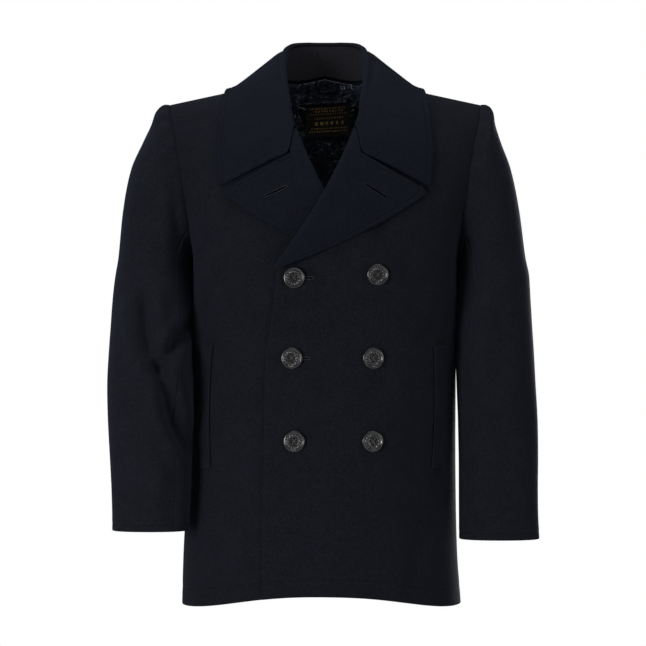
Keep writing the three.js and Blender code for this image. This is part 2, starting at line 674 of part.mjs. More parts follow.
function lapel(name, side) {
  const rows = (layer) =>
    lapelDowns.map((down) => {
      const flat = lapelOuts.map((out) => lapelPoint(side, down, out, layer));
      const place = lapelPlace(down, 0);
      const fold = foldSteps.map((step) => {
        const past = layer ? step.past : step.innerPast;
        const lift = lapelLift(side, down, 0.04, place) - seamGap;
        const out = (layer ? step.out : step.innerOut) + (step.out > 0 ? lift : 0);
        const x = place.x - rollNormal.x * past;
        const z = place.z + rollNormal.z * past;
        const point = placedPoint(1, x, z, frontOut(side, place.x, place.z, step.out > 0 ? 16 : 0) + out);
        point.x *= side;
        return hang(point);
      });
      return [...fold, ...flat];
    });
  return wall(name, rows(1), rows(0), collarMelton);
}

// Collar
// The stand rises inside from the neck seam to the roll, and the leaf falls outside to its edge.
const neckStation = 0.46; // where the shoulder seam meets the neck

function neckSeam(station) {
  if (station <= neckStation) {
    const across = neckShare * Math.sin((station / neckStation) * (Math.PI / 2));
    return formPoint(-1, lerp(Math.PI / 2, armholeAngle(-1, 1), across), 1);
  }
  const t = (station - neckStation) / (1 - neckStation);
  const z = lerp(shoulderHeight(neckHalfWidth) - 0.1, gorgeHeight, t ** 1.5);
  return placedPoint(1, innerReach(z), z, 0);
}

function collarEdge(row) {
  const face = row.station <= 0.51 ? -1 : 1;
  return placedPoint(face, row.edgeX, shoulderHeight(row.edgeX) - Math.max(row.edgeDrop, 0.2), 0);
}

// Moves a point out from the body, until it clears the form there by some height.
function clearOfBody(point, height) {
  const face = point.y <= 0 ? 1 : -1;
  const top = shoulderHeight(point.x) - 0.05;
  const place = formPlace(face, point.x, Math.min(point.z, top));
  const normal = formNormal(face, place.angle, place.v);
  const gap = point.clone().sub(bodyPoint(face, place.angle, place.v, height)).dot(normal);
  return gap < 0 ? point.clone().addScaledVector(normal, -gap) : point;
}

const leafSteps = [0, 0.1, 0.22, 0.36, 0.52, 0.68, 0.84, 1];
const foldRadius = doubleThickness / 2 + 0.8;

// The middle of the leaf's cloth at one station: round the fold from inside, then down.
function leafMiddle(station) {
  const row = along(collarStations, "station", station);
  const roll = new THREE.Vector3(row.rollX, row.rollY, row.rollZ);
  const edge = collarEdge(row);
  const outward = edge.clone().sub(roll).setZ(0).normalize();
  const up = new THREE.Vector3(0, 0, 1);
  const laid = smooth((station - 0.62) / 0.3);
  const fold = [0, 0.1, 0.35, 0.65].map((turn) =>
    roll
      .clone()
      .addScaledVector(outward, foldRadius * (1 - Math.cos(Math.PI * turn)))
      .addScaledVector(up, foldRadius * (Math.sin(Math.PI * turn) - 1)),
  );
  const start = roll.clone().addScaledVector(outward, 2 * foldRadius).addScaledVector(up, -foldRadius * 1.6);
  const bend = new THREE.Vector3(notch.x, 0, notch.z + notchGap);
  const leaf = leafSteps.map((t) => {
    const point = start.clone().lerp(edge, t);
    const bulge = 5 * Math.sin(Math.PI * t ** 0.55) * (1 - laid);
    point.addScaledVector(outward.clone().add(up).normalize(), bulge);
    const share = t < 0.2 ? t / 0.2 : (t - 0.2) / 0.8;
    const straight = t < 0.2 ? roll.clone().lerp(bend, share) : bend.clone().lerp(edge, share);
    const near = smooth((station - 0.84) / 0.16);
    const x = lerp(point.x, straight.x, near);
    const z = lerp(point.z, straight.z, near);
    const height = doubleThickness / 2 + layGap + 3 * Math.sin(Math.PI * clamp(0.15 + t * 0.85));
    if (laid > 0) point.lerp(placedPoint(1, x, z, height), laid);
    return clearOfBody(point, doubleThickness / 2 + layGap + 1.6 * Math.exp(-((point.y / 22) ** 2)));
  });
  return [...fold, ...leaf];
}

// The middle of the stand's cloth at one station, from the neck seam up to the fold.
function standMiddle(station) {
  const row = along(collarStations, "station", station);
  const roll = new THREE.Vector3(row.rollX, row.rollY, row.rollZ);
  const seam = neckSeam(station);
  const inward = new THREE.Vector3(-seam.x, -seam.y, 0).normalize();
  seam.addScaledVector(inward, seamGap + clothThickness * 0.7).add(new THREE.Vector3(0, 0, 1));
  const top = roll.clone().add(new THREE.Vector3(0, 0, -foldRadius - 1.8));
  return steps(4).map((t) => seam.clone().lerp(top, t));
}

const backTurns = [0, 0.07, 0.14, 0.21, 0.28, 0.35, 0.41, 0.46];
const collarTurns = [...backTurns, 0.52, 0.58, 0.65, 0.72, 0.79, 0.86, 0.93, 1];

// Both faces of a cloth whose middle runs through the rows, half its thickness to either side.
function clothFromMiddle(name, rows, thickness, material) {
  const normals = gridNormals(rows);
  const moved = (point, normal, out) => point.clone().addScaledVector(normal, out);
  const face = (out) => rows.map((row, i) => row.map((point, j) => moved(point, normals[i][j], out)));
  return wall(name, face(thickness / 2), face(-thickness / 2), material);
}

function mirrored(make, turns) {
  const left = turns.map((station) => make(station));
  const right = left.slice(1).map((row) => row.map((point) => new THREE.Vector3(-point.x, point.y, point.z)));
  return [...right.reverse(), ...left];
}

const standTurns = collarTurns.filter((station) => station <= 0.58);

const collarLeaf = () =>
  clothFromMiddle("collar_leaf", mirrored(leafMiddle, collarTurns), doubleThickness, collarMelton);

const collarStand = () =>
  clothFromMiddle("collar_stand", mirrored(standMiddle, standTurns), clothThickness, collarMelton);

// Pocket welts, a strip on each front beside the slit of the hand pocket
function pocketWelt(name, side) {
  const point = (s, t, away) => {
    const bow = 3 * Math.sin(Math.PI * s);
    const x = pocket.x + pocket.width * (t - 0.5) + bow;
    const made = placedPoint(1, x, pocket.top - pocket.length * s, away);
    made.x *= side;
    return hang(made);
  };
  const face = gridOf(8, 3, (s, t) => point(s, t, layGap + pocket.thickness));
  return wall(name, gridOf(8, 3, (s, t) => point(s, t, layGap)), face, navyMelton);
}

// Buttons
const manifold = await Module();
manifold.setup();

// Radius and height along the button's turned profile, from the middle of its back to its face
const buttonProfile = [
  { radius: 0, height: 0 },
  { radius: 5, height: 0 },
  { radius: 5.2, height: 0.9 },
  { radius: 14.2, height: 0.9 },
  { radius: buttonRadius, height: 3.4 },
  { radius: 13.6, height: buttonThickness },
  { radius: 11.6, height: 3 },
  { radius: 0, height: 3 },
];

function solidFrom(geometry) {
  const mesh = new manifold.Mesh({
    numProp: 3,
    vertProperties: new Float32Array(geometry.attributes.position.array),
    triVerts: new Uint32Array(geometry.index.array),
  });
  mesh.merge();
  return new manifold.Manifold(mesh);
}

function buttonGeometry() {
  const profile = buttonProfile.map((p) => new THREE.Vector2(p.radius, p.height));
  const segments = 20;
  const positions = [0, 0, 0, 0, profile[profile.length - 1].y, 0];
  const rings = profile.slice(1, -1);
  for (const ring of rings)
    for (let i = 0; i < segments; i++) {
      const turn = (i / segments) * 2 * Math.PI;
      positions.push(ring.x * Math.cos(turn), ring.y, -ring.x * Math.sin(turn));
    }
  const at = (k, i) => 2 + k * segments + (i % segments);
  const index = [];
  for (let i = 0; i < segments; i++) {
    index.push(0, at(0, i + 1), at(0, i), 1, at(rings.length - 1, i), at(rings.length - 1, i + 1));
    for (let k = 0; k < rings.length - 1; k++) {
      index.push(at(k, i), at(k, i + 1), at(k + 1, i + 1), at(k, i), at(k + 1, i + 1), at(k + 1, i));
    }
  }
  const blank = new THREE.BufferGeometry();
  blank.setAttribute("position", new THREE.Float32BufferAttribute(positions, 3));
  blank.setIndex(index);
  let solid = solidFrom(blank);
  const drill = new THREE.CylinderGeometry(buttonHoleRadius, buttonHoleRadius, 12, 6);
  const diamond = [
    [1, 0],
    [0, 1],
    [-1, 0],
    [0, -1],
  ];
  for (const [across, up] of diamond) {
    const hole = drill.clone().translate(across * buttonHoleOffset, 0, up * buttonHoleOffset);
    solid = solid.subtract(solidFrom(hole));
  }
  const cut = solid.getMesh();
  const geometry = new THREE.BufferGeometry();
  geometry.setAttribute("position", new THREE.Float32BufferAttribute(cut.vertProperties, cut.numProp));
  geometry.setIndex([...cut.triVerts]);
  geometry.computeVertexNormals();
  return geometry;
}

const buttonShape = buttonGeometry();

// A button stands on the left front, square to the cloth there.
function button(front, place) {
  const ray = new THREE.Raycaster(new THREE.Vector3(place.x, -400, place.z), new THREE.Vector3(0, 1, 0));
  const hit = ray.intersectObject(front)[0];
  const mesh = new THREE.Mesh(buttonShape, buttonPlastic);
  mesh.name = place.name;
  mesh.quaternion.setFromUnitVectors(new THREE.Vector3(0, 1, 0), hit.face.normal);
  mesh.position.copy(hit.point.addScaledVector(hit.face.normal, seamGap + 0.15));
  return mesh;
}

const coat = new THREE.Group();
const leftFront = frontPanel("front_left", 1);
coat.add(leftFront);
coat.add(frontPanel("front_right", -1));
coat.add(backPanel("back_left", 1));
coat.add(backPanel("back_right", -1));
const lining = backLining();
coat.add(lining);
coat.add(neckLabel(lining));
coat.add(hangerLoop(lining));
for (const side of ["left", "right"]) {
  coat.add(sleevePiece(`sleeve_${side}_top`, side, -9, 11));
  coat.add(sleevePiece(`sleeve_${side}_under`, side, 11, 21));
}
coat.add(lapel("lapel_left", 1));
coat.add(lapel("lapel_right", -1));
coat.add(collarLeaf());
coat.add(collarStand());
coat.add(pocketWelt("pocket_welt_left", 1));
coat.add(pocketWelt("pocket_welt_right", -1));
for (const place of buttonPlaces) coat.add(button(leftFront, place));

export default coat;
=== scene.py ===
# %% [markdown]
# A double-breasted wool pea coat, filled out as it is worn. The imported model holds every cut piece
# as a plain solid. Here each piece becomes a thin, soft shell of melton on that solid's form, with
# the coat's creases, stitching, buttonholes and lining, and then gets its cloth.
# Everything is worked out in millimetres and handed to Blender in metres.

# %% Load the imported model
import math

import bpy
import numpy as np
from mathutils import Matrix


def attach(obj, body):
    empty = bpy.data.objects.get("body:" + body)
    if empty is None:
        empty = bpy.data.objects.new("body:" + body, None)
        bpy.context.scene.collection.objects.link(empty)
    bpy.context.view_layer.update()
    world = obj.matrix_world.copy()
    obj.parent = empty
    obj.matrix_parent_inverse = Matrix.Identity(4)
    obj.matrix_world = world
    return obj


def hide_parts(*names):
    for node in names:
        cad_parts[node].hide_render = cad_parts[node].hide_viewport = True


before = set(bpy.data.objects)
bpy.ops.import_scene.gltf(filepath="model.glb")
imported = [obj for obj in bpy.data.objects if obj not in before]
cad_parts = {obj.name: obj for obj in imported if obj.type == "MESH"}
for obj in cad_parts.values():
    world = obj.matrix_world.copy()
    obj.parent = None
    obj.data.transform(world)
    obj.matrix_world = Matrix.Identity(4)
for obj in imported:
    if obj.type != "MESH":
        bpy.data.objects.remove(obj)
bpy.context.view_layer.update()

# %% [markdown]
# The camera comes first, because it is the ruler for all that follows. The photograph was taken
# from far off with a long lens, level with the middle of the coat, so the coat shows almost no
# perspective. Four metres away and a 151 mm lens give the same picture.

# %% Camera at the photograph's place
CAMERA_DISTANCE = 4.0
VIEW_WIDTH = 0.956  # what the picture spans at the coat's middle plane
EYE_HEIGHT = -0.360

camera_data = bpy.data.cameras.new("camera")
camera_data.sensor_width = 36.0
camera_data.lens = 36.0 * CAMERA_DISTANCE / VIEW_WIDTH
camera_data.clip_end = 60.0
camera = bpy.data.objects.new("camera", camera_data)
camera.location = (-0.003, -CAMERA_DISTANCE, EYE_HEIGHT)
camera.rotation_euler = (math.pi / 2, 0.0, 0.0)
bpy.context.scene.collection.objects.link(camera)
bpy.context.scene.camera = camera
print("lens", round(camera_data.lens, 1), "mm")

# %% [markdown]
# A tailor's form is described by sections: how wide and how deep the body is at each height. The
# tables below hold those sections, one row each, and a smooth curve runs through every column.

# %% Sizes of the coat, in millimetres
SEAM_GAP = 0.3
LAY_GAP = 0.9
CLOTH = 2.5
DOUBLE = 4.5
LINING = 1.0
CHEST_Z = -270.0
HEM_SIDE_Z = -772.0
HEM_FRONT_RISE = 21.0
POWER = 2.4  # of the superellipse that a level section follows
CHEST_POWER = 3.3  # the same at the chest, where it is fuller at its corners
EASE_BELOW, EASE_ABOVE = 0.42, 0.55  # shares of the height over which that fullness eases off
CHEST_FRONT = 140.0
CHEST_BACK = 130.0
TIP_Z = -37.5
TIP_X = 229.0
SHOULDER_SLOPE = 0.215
NECK_RISE = 30.0
NECK_SWEEP = 55.0
NECK_DIP = 0.105
ARMHOLE_FRONT = 0.58
ARMHOLE_BACK = 0.62
BREAK_Z = -281.0
BREAK_X = 70.0
GORGE_Z = -77.0
GORGE_X = 45.0
ROLL_BOW = 11.0  # how far the roll line bows out between the gorge and the break
EDGE_LOW = 82.0

SIDES = ((1, "left"), (-1, "right"))
BODY_COLUMNS = ["height", "half", "front", "back", "lean"]
BODY_ROWS = [
    (-772, 205.5, 147, 137, -6.5),
    (-700, 202.0, 146, 132, -8.0),
    (-600, 198.5, 144, 124, -6.0),
    (-460, 197.0, 142, 118, -4.0),
    (-360, 195.0, 141, 123, -1.5),
    (-300, 194.2, 140.2, 129, -0.2),
    (-270, 194.0, 140, 130, 0.0),
]
ARMHOLE_COLUMNS = ["share", "reach"]
ARMHOLE_ROWS = [(0, 194), (0.13, 196), (0.28, 200), (0.48, 208), (0.72, 217), (0.9, 226), (1, 229)]


# %% Curves through a table, and small tools
def lerp(a, b, t):
    return a + (b - a) * t


def smooth(t):
    """An even step from 0 to 1: three times t squared less twice t cubed."""
    t = np.clip(t, 0.0, 1.0)
    return t * t * (3.0 - 2.0 * t)


def steps(count):
    return np.linspace(0.0, 1.0, count + 1)


def grid_of(rows, columns):
    """Two arrays over one grid: what changes from row to row, and what from column to column."""
    return np.meshgrid(rows, columns, indexing="ij")


def signed_power(value, power):
    return np.sign(value) * np.abs(value) ** power


def along(columns, rows, key, at):
    """Every column at the places asked, each on a cubic through the rows.

    The slope at a row is the slope between the rows on either side of it."""
    data = np.array(rows, float)
    k = columns.index(key)
    if data[0, k] > data[-1, k]:
        data = data[::-1]
    at = np.clip(np.asarray(at, float), data[0, k], data[-1, k])
    i = np.clip(np.searchsorted(data[:, k], at, side="left") - 1, 0, len(data) - 2)
    a, b = data[i], data[i + 1]
    before, after = data[np.maximum(i - 1, 0)], data[np.minimum(i + 2, len(data) - 1)]
    span = (b[..., k] - a[..., k])[..., None]
    t = (at[..., None] - a[..., k][..., None]) / span
    slope_a = (b - before) / (b[..., k] - before[..., k])[..., None] * span
    slope_b = (after - a) / (after[..., k] - a[..., k])[..., None] * span
    made = (
        (2 * t**3 - 3 * t**2 + 1) * a
        + (t**3 - 2 * t**2 + t) * slope_a
        + (3 * t**2 - 2 * t**3) * b
        + (t**3 - t**2) * slope_b
    )
    return {name: made[..., j] for j, name in enumerate(columns)}


print("half width at the waist:", float(along(BODY_COLUMNS, BODY_ROWS, "height", -460)["half"]))

# %% [markdown]
# The body of the coat could be sculpted or simulated. A formula is chosen, because the fronts, the
# back, the lining, the lapels and the pockets all have to lie on one and the same form, a few
# millimetres apart. Each level section is a superellipse: fuller at its corners than an ellipse.
# Above the chest the sections grow shallower, until front and back meet at the shoulder seam.


# %% The form of the body
def shoulder_height(x):
    """A straight slope down from the neck, with a soft rise towards the collar."""
    return TIP_Z + SHOULDER_SLOPE * (TIP_X - np.abs(x)) + NECK_RISE * np.exp(-((x / NECK_SWEEP) ** 2))


def rise_of(v):
    return np.sin(np.clip(v, 0, 1) * np.pi / 2)


def depth_share(face, rise):
    """How deep a section is at some share of the way up to the shoulder, against the chest's."""
    if face > 0:
        return np.maximum(0, 1 - rise**2) ** 0.5556
    return np.sqrt(np.maximum(0, 1 - rise**2.6))


def power_at(v):
    """The superellipse's power at a level: greatest at the chest, easing off above and below."""
    near_chest = np.where(v <= 0, smooth(1 + v / EASE_BELOW), 1 - smooth(rise_of(v) / EASE_ABOVE))
    return lerp(POWER, CHEST_POWER, near_chest)


def armhole_angle(face, v):
    """The angle where a level section is cut off by the armhole: nothing below the chest."""
    most = ARMHOLE_FRONT if face > 0 else ARMHOLE_BACK
    share = most * (1 - (1 - rise_of(v)) ** 5) ** 0.66
    return np.where(v > 0, np.arcsin(share ** (power_at(v) / 2)), 0.0)


def half_width_at(face, v):
    reach = along(ARMHOLE_COLUMNS, ARMHOLE_ROWS, "share", rise_of(v))["reach"]
    return reach / np.cos(armhole_angle(face, v)) ** (2 / power_at(v))


SHOULDER_LEVEL = np.array(1.0)
NECK_SHARE = 0.2  # of the back that the neckline takes up, from the centre to the armhole
NECK_ANGLE = NECK_SHARE * (np.pi / 2 - armhole_angle(-1, SHOULDER_LEVEL))
NECK_HALF = float(half_width_at(-1, SHOULDER_LEVEL) * np.sin(NECK_ANGLE) ** (2 / POWER))


def neck_cut(face, x):
    return 0.0 * x if face > 0 else NECK_DIP * np.maximum(0, 1 - (x / NECK_HALF) ** 2)


def hem_height(face, angle):
    return HEM_SIDE_Z + (HEM_FRONT_RISE * np.sin(angle) ** 4 if face > 0 else 0.0 * angle)


def form_point(face, angle, v):
    """A point of the body: width times a power of the cosine, depth times a power of the sine."""
    angle, v = np.broadcast_arrays(np.asarray(angle, float), np.asarray(v, float))
    across = signed_power(np.cos(angle), 2 / power_at(v))
    deep = np.abs(np.sin(angle)) ** (2 / power_at(v))
    low_z = lerp(CHEST_Z, hem_height(face, angle), -np.minimum(v, 0))
    section = along(BODY_COLUMNS, BODY_ROWS, "height", low_z)
    low_depth = section["front"] if face > 0 else section["back"]
    high_x = half_width_at(face, np.maximum(v, 0)) * across
    rise = rise_of(v) * (1 - neck_cut(face, high_x))
    high_depth = (CHEST_FRONT if face > 0 else CHEST_BACK) * depth_share(face, rise)
    low = v <= 0
    x = np.where(low, section["half"] * across, high_x)
    depth = np.where(low, low_depth, high_depth)
    z = np.where(low, low_z, lerp(CHEST_Z, shoulder_height(high_x), rise))
    return np.stack([x, -face * depth * deep, z], axis=-1)


def unit(vectors):
    return vectors / np.maximum(np.linalg.norm(vectors, axis=-1, keepdims=True), 1e-9)


def form_normal(face, angle, v):
    """The outward normal, from the cross product of two short steps along the form."""
    step = 1e-3
    across = form_point(face, angle + step, v) - form_point(face, np.maximum(angle - step, 0), v)
    up = form_point(face, angle, np.minimum(v + step, 1)) - form_point(face, angle, v - step)
    return unit(np.cross(across, up) * -face)


def angle_for(x, half, v):
    return np.arccos(np.clip(signed_power(x / half, power_at(v) / 2), -1, 1))


def form_place(face, x, z):
    """The angle and level of the form behind a place in the front view."""
    x, z = np.broadcast_arrays(np.asarray(x, float), np.asarray(z, float))
    rise = np.clip((z - CHEST_Z) / (shoulder_height(x) - CHEST_Z) / (1 - neck_cut(face, x)), 0, 1)
    high_v = np.arcsin(rise) / (np.pi / 2)
    high_angle = angle_for(x, half_width_at(face, high_v), high_v)
    half = along(BODY_COLUMNS, BODY_ROWS, "height", z)["half"]
    low_v = (z - CHEST_Z) / (CHEST_Z - HEM_SIDE_Z)
    for _ in range(3):
        low_angle = angle_for(x, half, low_v)
        low_v = (z - CHEST_Z) / (CHEST_Z - hem_height(face, low_angle))
    low = z <= CHEST_Z
    return np.where(low, low_angle, high_angle), np.where(low, low_v, high_v)


def hang(points):
    """The coat hangs a little to the right as it falls."""
    lean = along(BODY_COLUMNS, BODY_ROWS, "height", np.minimum(points[..., 2], CHEST_Z))["lean"]
    points = points.copy()
    points[..., 0] += lean
    return points


print("neck half width:", round(NECK_HALF, 1), "mm")

# %% [markdown]
# No worn coat is smooth. The cloth hangs in soft uneven troughs and ridges: out from the bust and
# the shoulder blades, in at the waist, and in long waves towards the hem. They are one function of
# the place on the body, added to every layer alike, so that the layers never cut each other.

# %% Creases of the body
# Each crease is a line in the front view: from x and z, to x and z, depth, width
FRONT_CREASES = [
    (-166, -280, -120, -352, 1.9, 13),
    (-176, -330, -140, -420, 1.5, 15),
    (-148, -600, -136, -775, 1.8, 20),
    (-112, -640, -108, -775, -1.4, 18),
    (-168, -150, -158, -232, 1.6, 15),
    (164, -284, 124, -338, 1.7, 13),
    (172, -318, 146, -404, 1.6, 15),
    (150, -620, 140, -775, 2.0, 19),
    (118, -600, 110, -775, -1.5, 18),
    (166, -160, 158, -236, 1.4, 15),
]
BACK_CREASES = [
    (168, -165, 150, -340, 3.8, 15),
    (96, -150, 30, -250, 1.8, 20),
    (-100, -155, -36, -262, 1.6, 22),
    (140, -190, 118, -420, -2.4, 20),
    (60, -420, 52, -775, 2.6, 24),
    (0, -470, 6, -775, -2.2, 20),
    (-66, -400, -72, -775, 2.8, 24),
    (-140, -200, -120, -410, -2.4, 20),
    (-168, -175, -150, -350, 3.6, 15),
    (124, -500, 134, -775, -2.2, 19),
    (-126, -520, -138, -775, -2.0, 19),
]
SEAM_FADE = 26.0  # beside a seam, the width over which creases die out
COLLAR_DROP = 90.0  # below the shoulder, where the collar no longer presses the cloth flat
OVERLAP_HALF = 94.0  # from the centre, the part of the fronts that is double and stays smooth


def beside_line(x, z, from_x, from_z, to_x, to_z):
    """How far along a line each place is, as a share of it, and how far beside it."""
    dx, dz = to_x - from_x, to_z - from_z
    length = math.hypot(dx, dz)
    share = ((x - from_x) * dx + (z - from_z) * dz) / length**2
    return share, ((x - from_x) * dz - (z - from_z) * dx) / length


def troughs(rows, x, z, ridge=0.35):
    """Sum of creases: each its depth times a bell of the distance to a line, with a low ridge
    on both sides, easing off at its ends."""
    press = np.zeros(np.broadcast(x, z).shape)
    for *line, depth, width in rows:
        t, side = beside_line(x, z, *line)
        side = side + 0.3 * width * np.sin(5.0 * t + 0.02 * line[0])
        ends = smooth(t / 0.3 + 0.35) * smooth((1 - t) / 0.3 + 0.35)
        ridges = ridge * np.exp(-(((np.abs(side) - 1.9 * width) / width) ** 2))
        press += depth * (np.exp(-((side / width) ** 2)) - ridges) * ends
    return press


def drape(face, x, y, z):
    """How far the cloth stands out from the plain form: the creases, and waves towards the hem
    that are sines of the way round. The creases fade at the seams and under the collar."""
    reach = along(ARMHOLE_COLUMNS, ARMHOLE_ROWS, "share", (z - CHEST_Z) / (TIP_Z - CHEST_Z))["reach"]
    half = np.where(z > CHEST_Z, reach, along(BODY_COLUMNS, BODY_ROWS, "height", z)["half"])
    inside = smooth((half - np.abs(x)) / SEAM_FADE) * smooth((shoulder_height(x) - z - COLLAR_DROP) / 80)
    creases = troughs(FRONT_CREASES if face > 0 else BACK_CREASES, x, z)
    if face > 0:
        creases = creases * smooth((np.abs(x) - OVERLAP_HALF) / 34)
    turn = np.arctan2(-y, x)
    waves = 1.3 * np.sin(5 * turn + 0.6) + 0.8 * np.sin(9 * turn + 2.0)
    return waves * smooth((-z - 500) / 260) - creases * inside


def on_body(face, angle, v, out, side=1):
    """Points of the form moved out along its normal, by the layer's height and the drape. The
    form is worked out on the left, and side says on which side the point ends."""
    base = form_point(face, angle, v)
    out = out + drape(face, side * base[..., 0], base[..., 1], base[..., 2])
    points = base + form_normal(face, angle, v) * out[..., None]
    points[..., 0] *= side
    return hang(points)


def on_body_at(face, x, z, out, side=1):
    angle, v = form_place(face, x, z)
    return on_body(face, angle, v, out + 0.0 * angle, side)


print("creases:", len(FRONT_CREASES), "on the fronts,", len(BACK_CREASES), "on the back")

# %% [markdown]
# Cloth is thin but not a sheet of paper: its edges are rounded where it is turned and pressed. Every
# piece is made from two grids of points, its face and its back, and a rounded rim between them.
# Solidify could do this, but then the layers would have to be kept apart by hand. The flat place of
# each point in the cut piece is kept as a UV map in metres, for the weave and the stitches.

# %% Turn two grids into a shell of cloth
SEWN = 0.05  # how round a rim is along a seam
GORGE_SEWN = 0.03  # the same along the seam between collar and lapel
NO_STITCH = 99.0  # a distance in millimetres at which nothing is stitched


def grid_normals(points):
    """Normals of a grid: the cross product of the differences along its rows and its columns."""
    return unit(np.cross(np.gradient(points, axis=0), np.gradient(points, axis=1)))


def flat_lengths(points):
    """The flat place of each point: the mean length along the rows, and along the columns."""
    du = np.linalg.norm(np.diff(points, axis=1), axis=-1)
    dv = np.linalg.norm(np.diff(points, axis=0), axis=-1)
    u = np.concatenate([np.zeros((len(points), 1)), np.cumsum(du, axis=1)], axis=1)
    v = np.concatenate([np.zeros((1, points.shape[1])), np.cumsum(dv, axis=0)], axis=0)
    v = np.broadcast_to(v.mean(axis=1, keepdims=True), u.shape)
    return np.stack([u - u[:, -1:] / 2, v], axis=-1)


def grid_quads(index):
    """The faces between the neighbours in a grid of point numbers."""
    corners = [index[:-1, :-1], index[:-1, 1:], index[1:, 1:], index[1:, :-1]]
    return np.stack(corners, -1).reshape(-1, 4)


def rim_of(index):
    """The point numbers round a grid: first row, last column, last row and first column."""
    return np.concatenate([index[0, :-1], index[:-1, -1], index[-1, :0:-1], index[:0:-1, 0]])


def shell(name, face, back, lines=None, rim_steps=3, soft=(1, 1, 1, 1)):
    """A closed shell: the face, the back turned over, and a rim that bulges between them.
    lines holds how far each point is from its topstitching and from its hem stitching. soft
    says how round the rim is along the first row, last column, last row and first column:
    1 where the cloth is turned over, and little where it is sewn to the next piece."""
    rows, columns = face.shape[:2]
    flat = flat_lengths(face)
    lines = np.full(face.shape[:2] + (2,), NO_STITCH) if lines is None else lines
    index = np.arange(rows * columns).reshape(rows, columns)
    ring = rim_of(index)
    inner = np.concatenate([index[1, :-1], index[:-1, -2], index[-2, :0:-1], index[:0:-1, 1]])
    outside, inside = face.reshape(-1, 3), back.reshape(-1, 3)
    lean = outside[ring] - outside[inner]
    reach = np.linalg.norm(lean, axis=1)[:, None]
    half = np.linalg.norm(outside[ring] - inside[ring], axis=1)[:, None] / 2
    edges = zip((columns - 1, rows - 1, columns - 1, rows - 1), soft)
    round_off = np.concatenate([np.broadcast_to(value, count) for count, value in edges])[:, None]
    lean = unit(lean) * np.minimum(0.8 * half, 0.6 * reach) * round_off
    turns = np.arange(1, rim_steps + 1) / (rim_steps + 1)
    rims = [
        lerp(outside[ring], inside[ring], (1 - math.cos(math.pi * t)) / 2)
        + lean * (math.sin(math.pi * t) - 1)
        for t in turns
    ]
    shift = np.zeros_like(outside)
    shift[ring] = -lean
    verts = np.concatenate([outside + shift, inside + shift, *rims])
    count = rows * columns
    quads = [grid_quads(index), count + grid_quads(index)[:, ::-1]]
    between = 2 * count + np.arange(rim_steps * len(ring)).reshape(rim_steps, len(ring))
    loops = [ring, *between, count + ring]
    for low, high in zip(loops, loops[1:]):
        quads.append(np.stack([np.roll(low, -1), low, high, np.roll(high, -1)], -1))
    quads = np.concatenate(quads)
    normal = np.cross(verts[quads[0, 1]] - verts[quads[0, 0]], verts[quads[0, 3]] - verts[quads[0, 0]])
    if np.dot(normal, verts[quads[0, 0]] - verts[count + quads[0, 0]]) < 0:
        quads = quads[:, ::-1]
    flat, lines = flat.reshape(-1, 2), lines.reshape(-1, 2)
    flat = np.concatenate([flat] * 2 + [flat[ring]] * rim_steps)
    lines = np.concatenate([lines, 0 * lines + NO_STITCH] + [lines[ring]] * rim_steps)
    return make_mesh(name, verts, quads, flat, lines)


def make_mesh(name, verts, quads, flat=None, lines=None):
    """A mesh object in metres, with the flat place and the stitching distances as UV maps."""
    flat = np.zeros((len(verts), 2)) if flat is None else flat
    lines = np.full((len(verts), 2), NO_STITCH) if lines is None else lines
    mesh = bpy.data.meshes.new(name)
    mesh.vertices.add(len(verts))
    mesh.vertices.foreach_set("co", (verts * 0.001).astype(np.float32).ravel())
    mesh.loops.add(quads.size)
    mesh.loops.foreach_set("vertex_index", quads.astype(np.int32).ravel())
    mesh.polygons.add(len(quads))
    mesh.polygons.foreach_set("loop_start", np.arange(0, quads.size, 4, dtype=np.int32))
    mesh.polygons.foreach_set("use_smooth", np.ones(len(quads), bool))
    mesh.update(calc_edges=True)
    for layer, values in (("cloth", flat), ("lines", lines)):
        corners = (values[quads.ravel()] * 0.001).astype(np.float32)
        mesh.uv_layers.new(name=layer).data.foreach_set("uv", corners.ravel())
    mesh.validate()
    piece = bpy.data.objects.new(name, mesh)
    bpy.context.scene.collection.objects.link(piece)
    return piece


def cut_of(grid):
    """The flat cut of a piece in metres: its longest row, its longest column, and its area."""
    width = np.linalg.norm(np.diff(grid, axis=1), axis=-1).sum(axis=1).max() * 0.001
    length = np.linalg.norm(np.diff(grid, axis=0), axis=-1).sum(axis=0).max() * 0.001
    first = np.cross(grid[1:, :-1] - grid[:-1, :-1], grid[:-1, 1:] - grid[:-1, :-1])
    second = np.cross(grid[1:, :-1] - grid[1:, 1:], grid[:-1, 1:] - grid[1:, 1:])
    area = (np.linalg.norm(first, axis=-1) + np.linalg.norm(second, axis=-1)).sum() / 2e6
    return (round(width, 3), round(length, 3)), min(round(area, 4), width * length)


def wear(piece, nodes, material, sheet=None):
    """Give a finished piece its cloth, its place in the model and its size as it was cut."""
    piece.data.materials.append(material)
    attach(piece, "root")
    if nodes:
        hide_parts(*nodes)
    size = ""
    if sheet is not None:
        flat, area = cut_of(sheet)
        size = f"cut {flat[0] * 1000:.0f} x {flat[1] * 1000:.0f} mm, {area * 1e4:.0f} cm2"
    print(piece.name, len(piece.data.polygons), "faces", size)


# %% [markdown]
# The fronts are cut wide, because a pea coat closes far over to the right: the left front lies on
# the right one across 160 mm. A thick cloth can't end in a step there, so the outer panel rises
# softly off the form before it reaches the inner one, and again over the right lapel below it.
# Its points are spread evenly round each section, so that no facet shows at the centre.

# %% Inner edges, and how high the left front lies
LAPEL_EDGE_COLUMNS = ["share", "x", "z"]
LAPEL_EDGE = [
    (0, 139, -167),
    (0.07, 143, -174),
    (0.16, 135, -182),
    (0.38, 101, -204),
    (0.6, 59, -228),
    (0.8, 8, -252),
    (1, -66, -282),
]


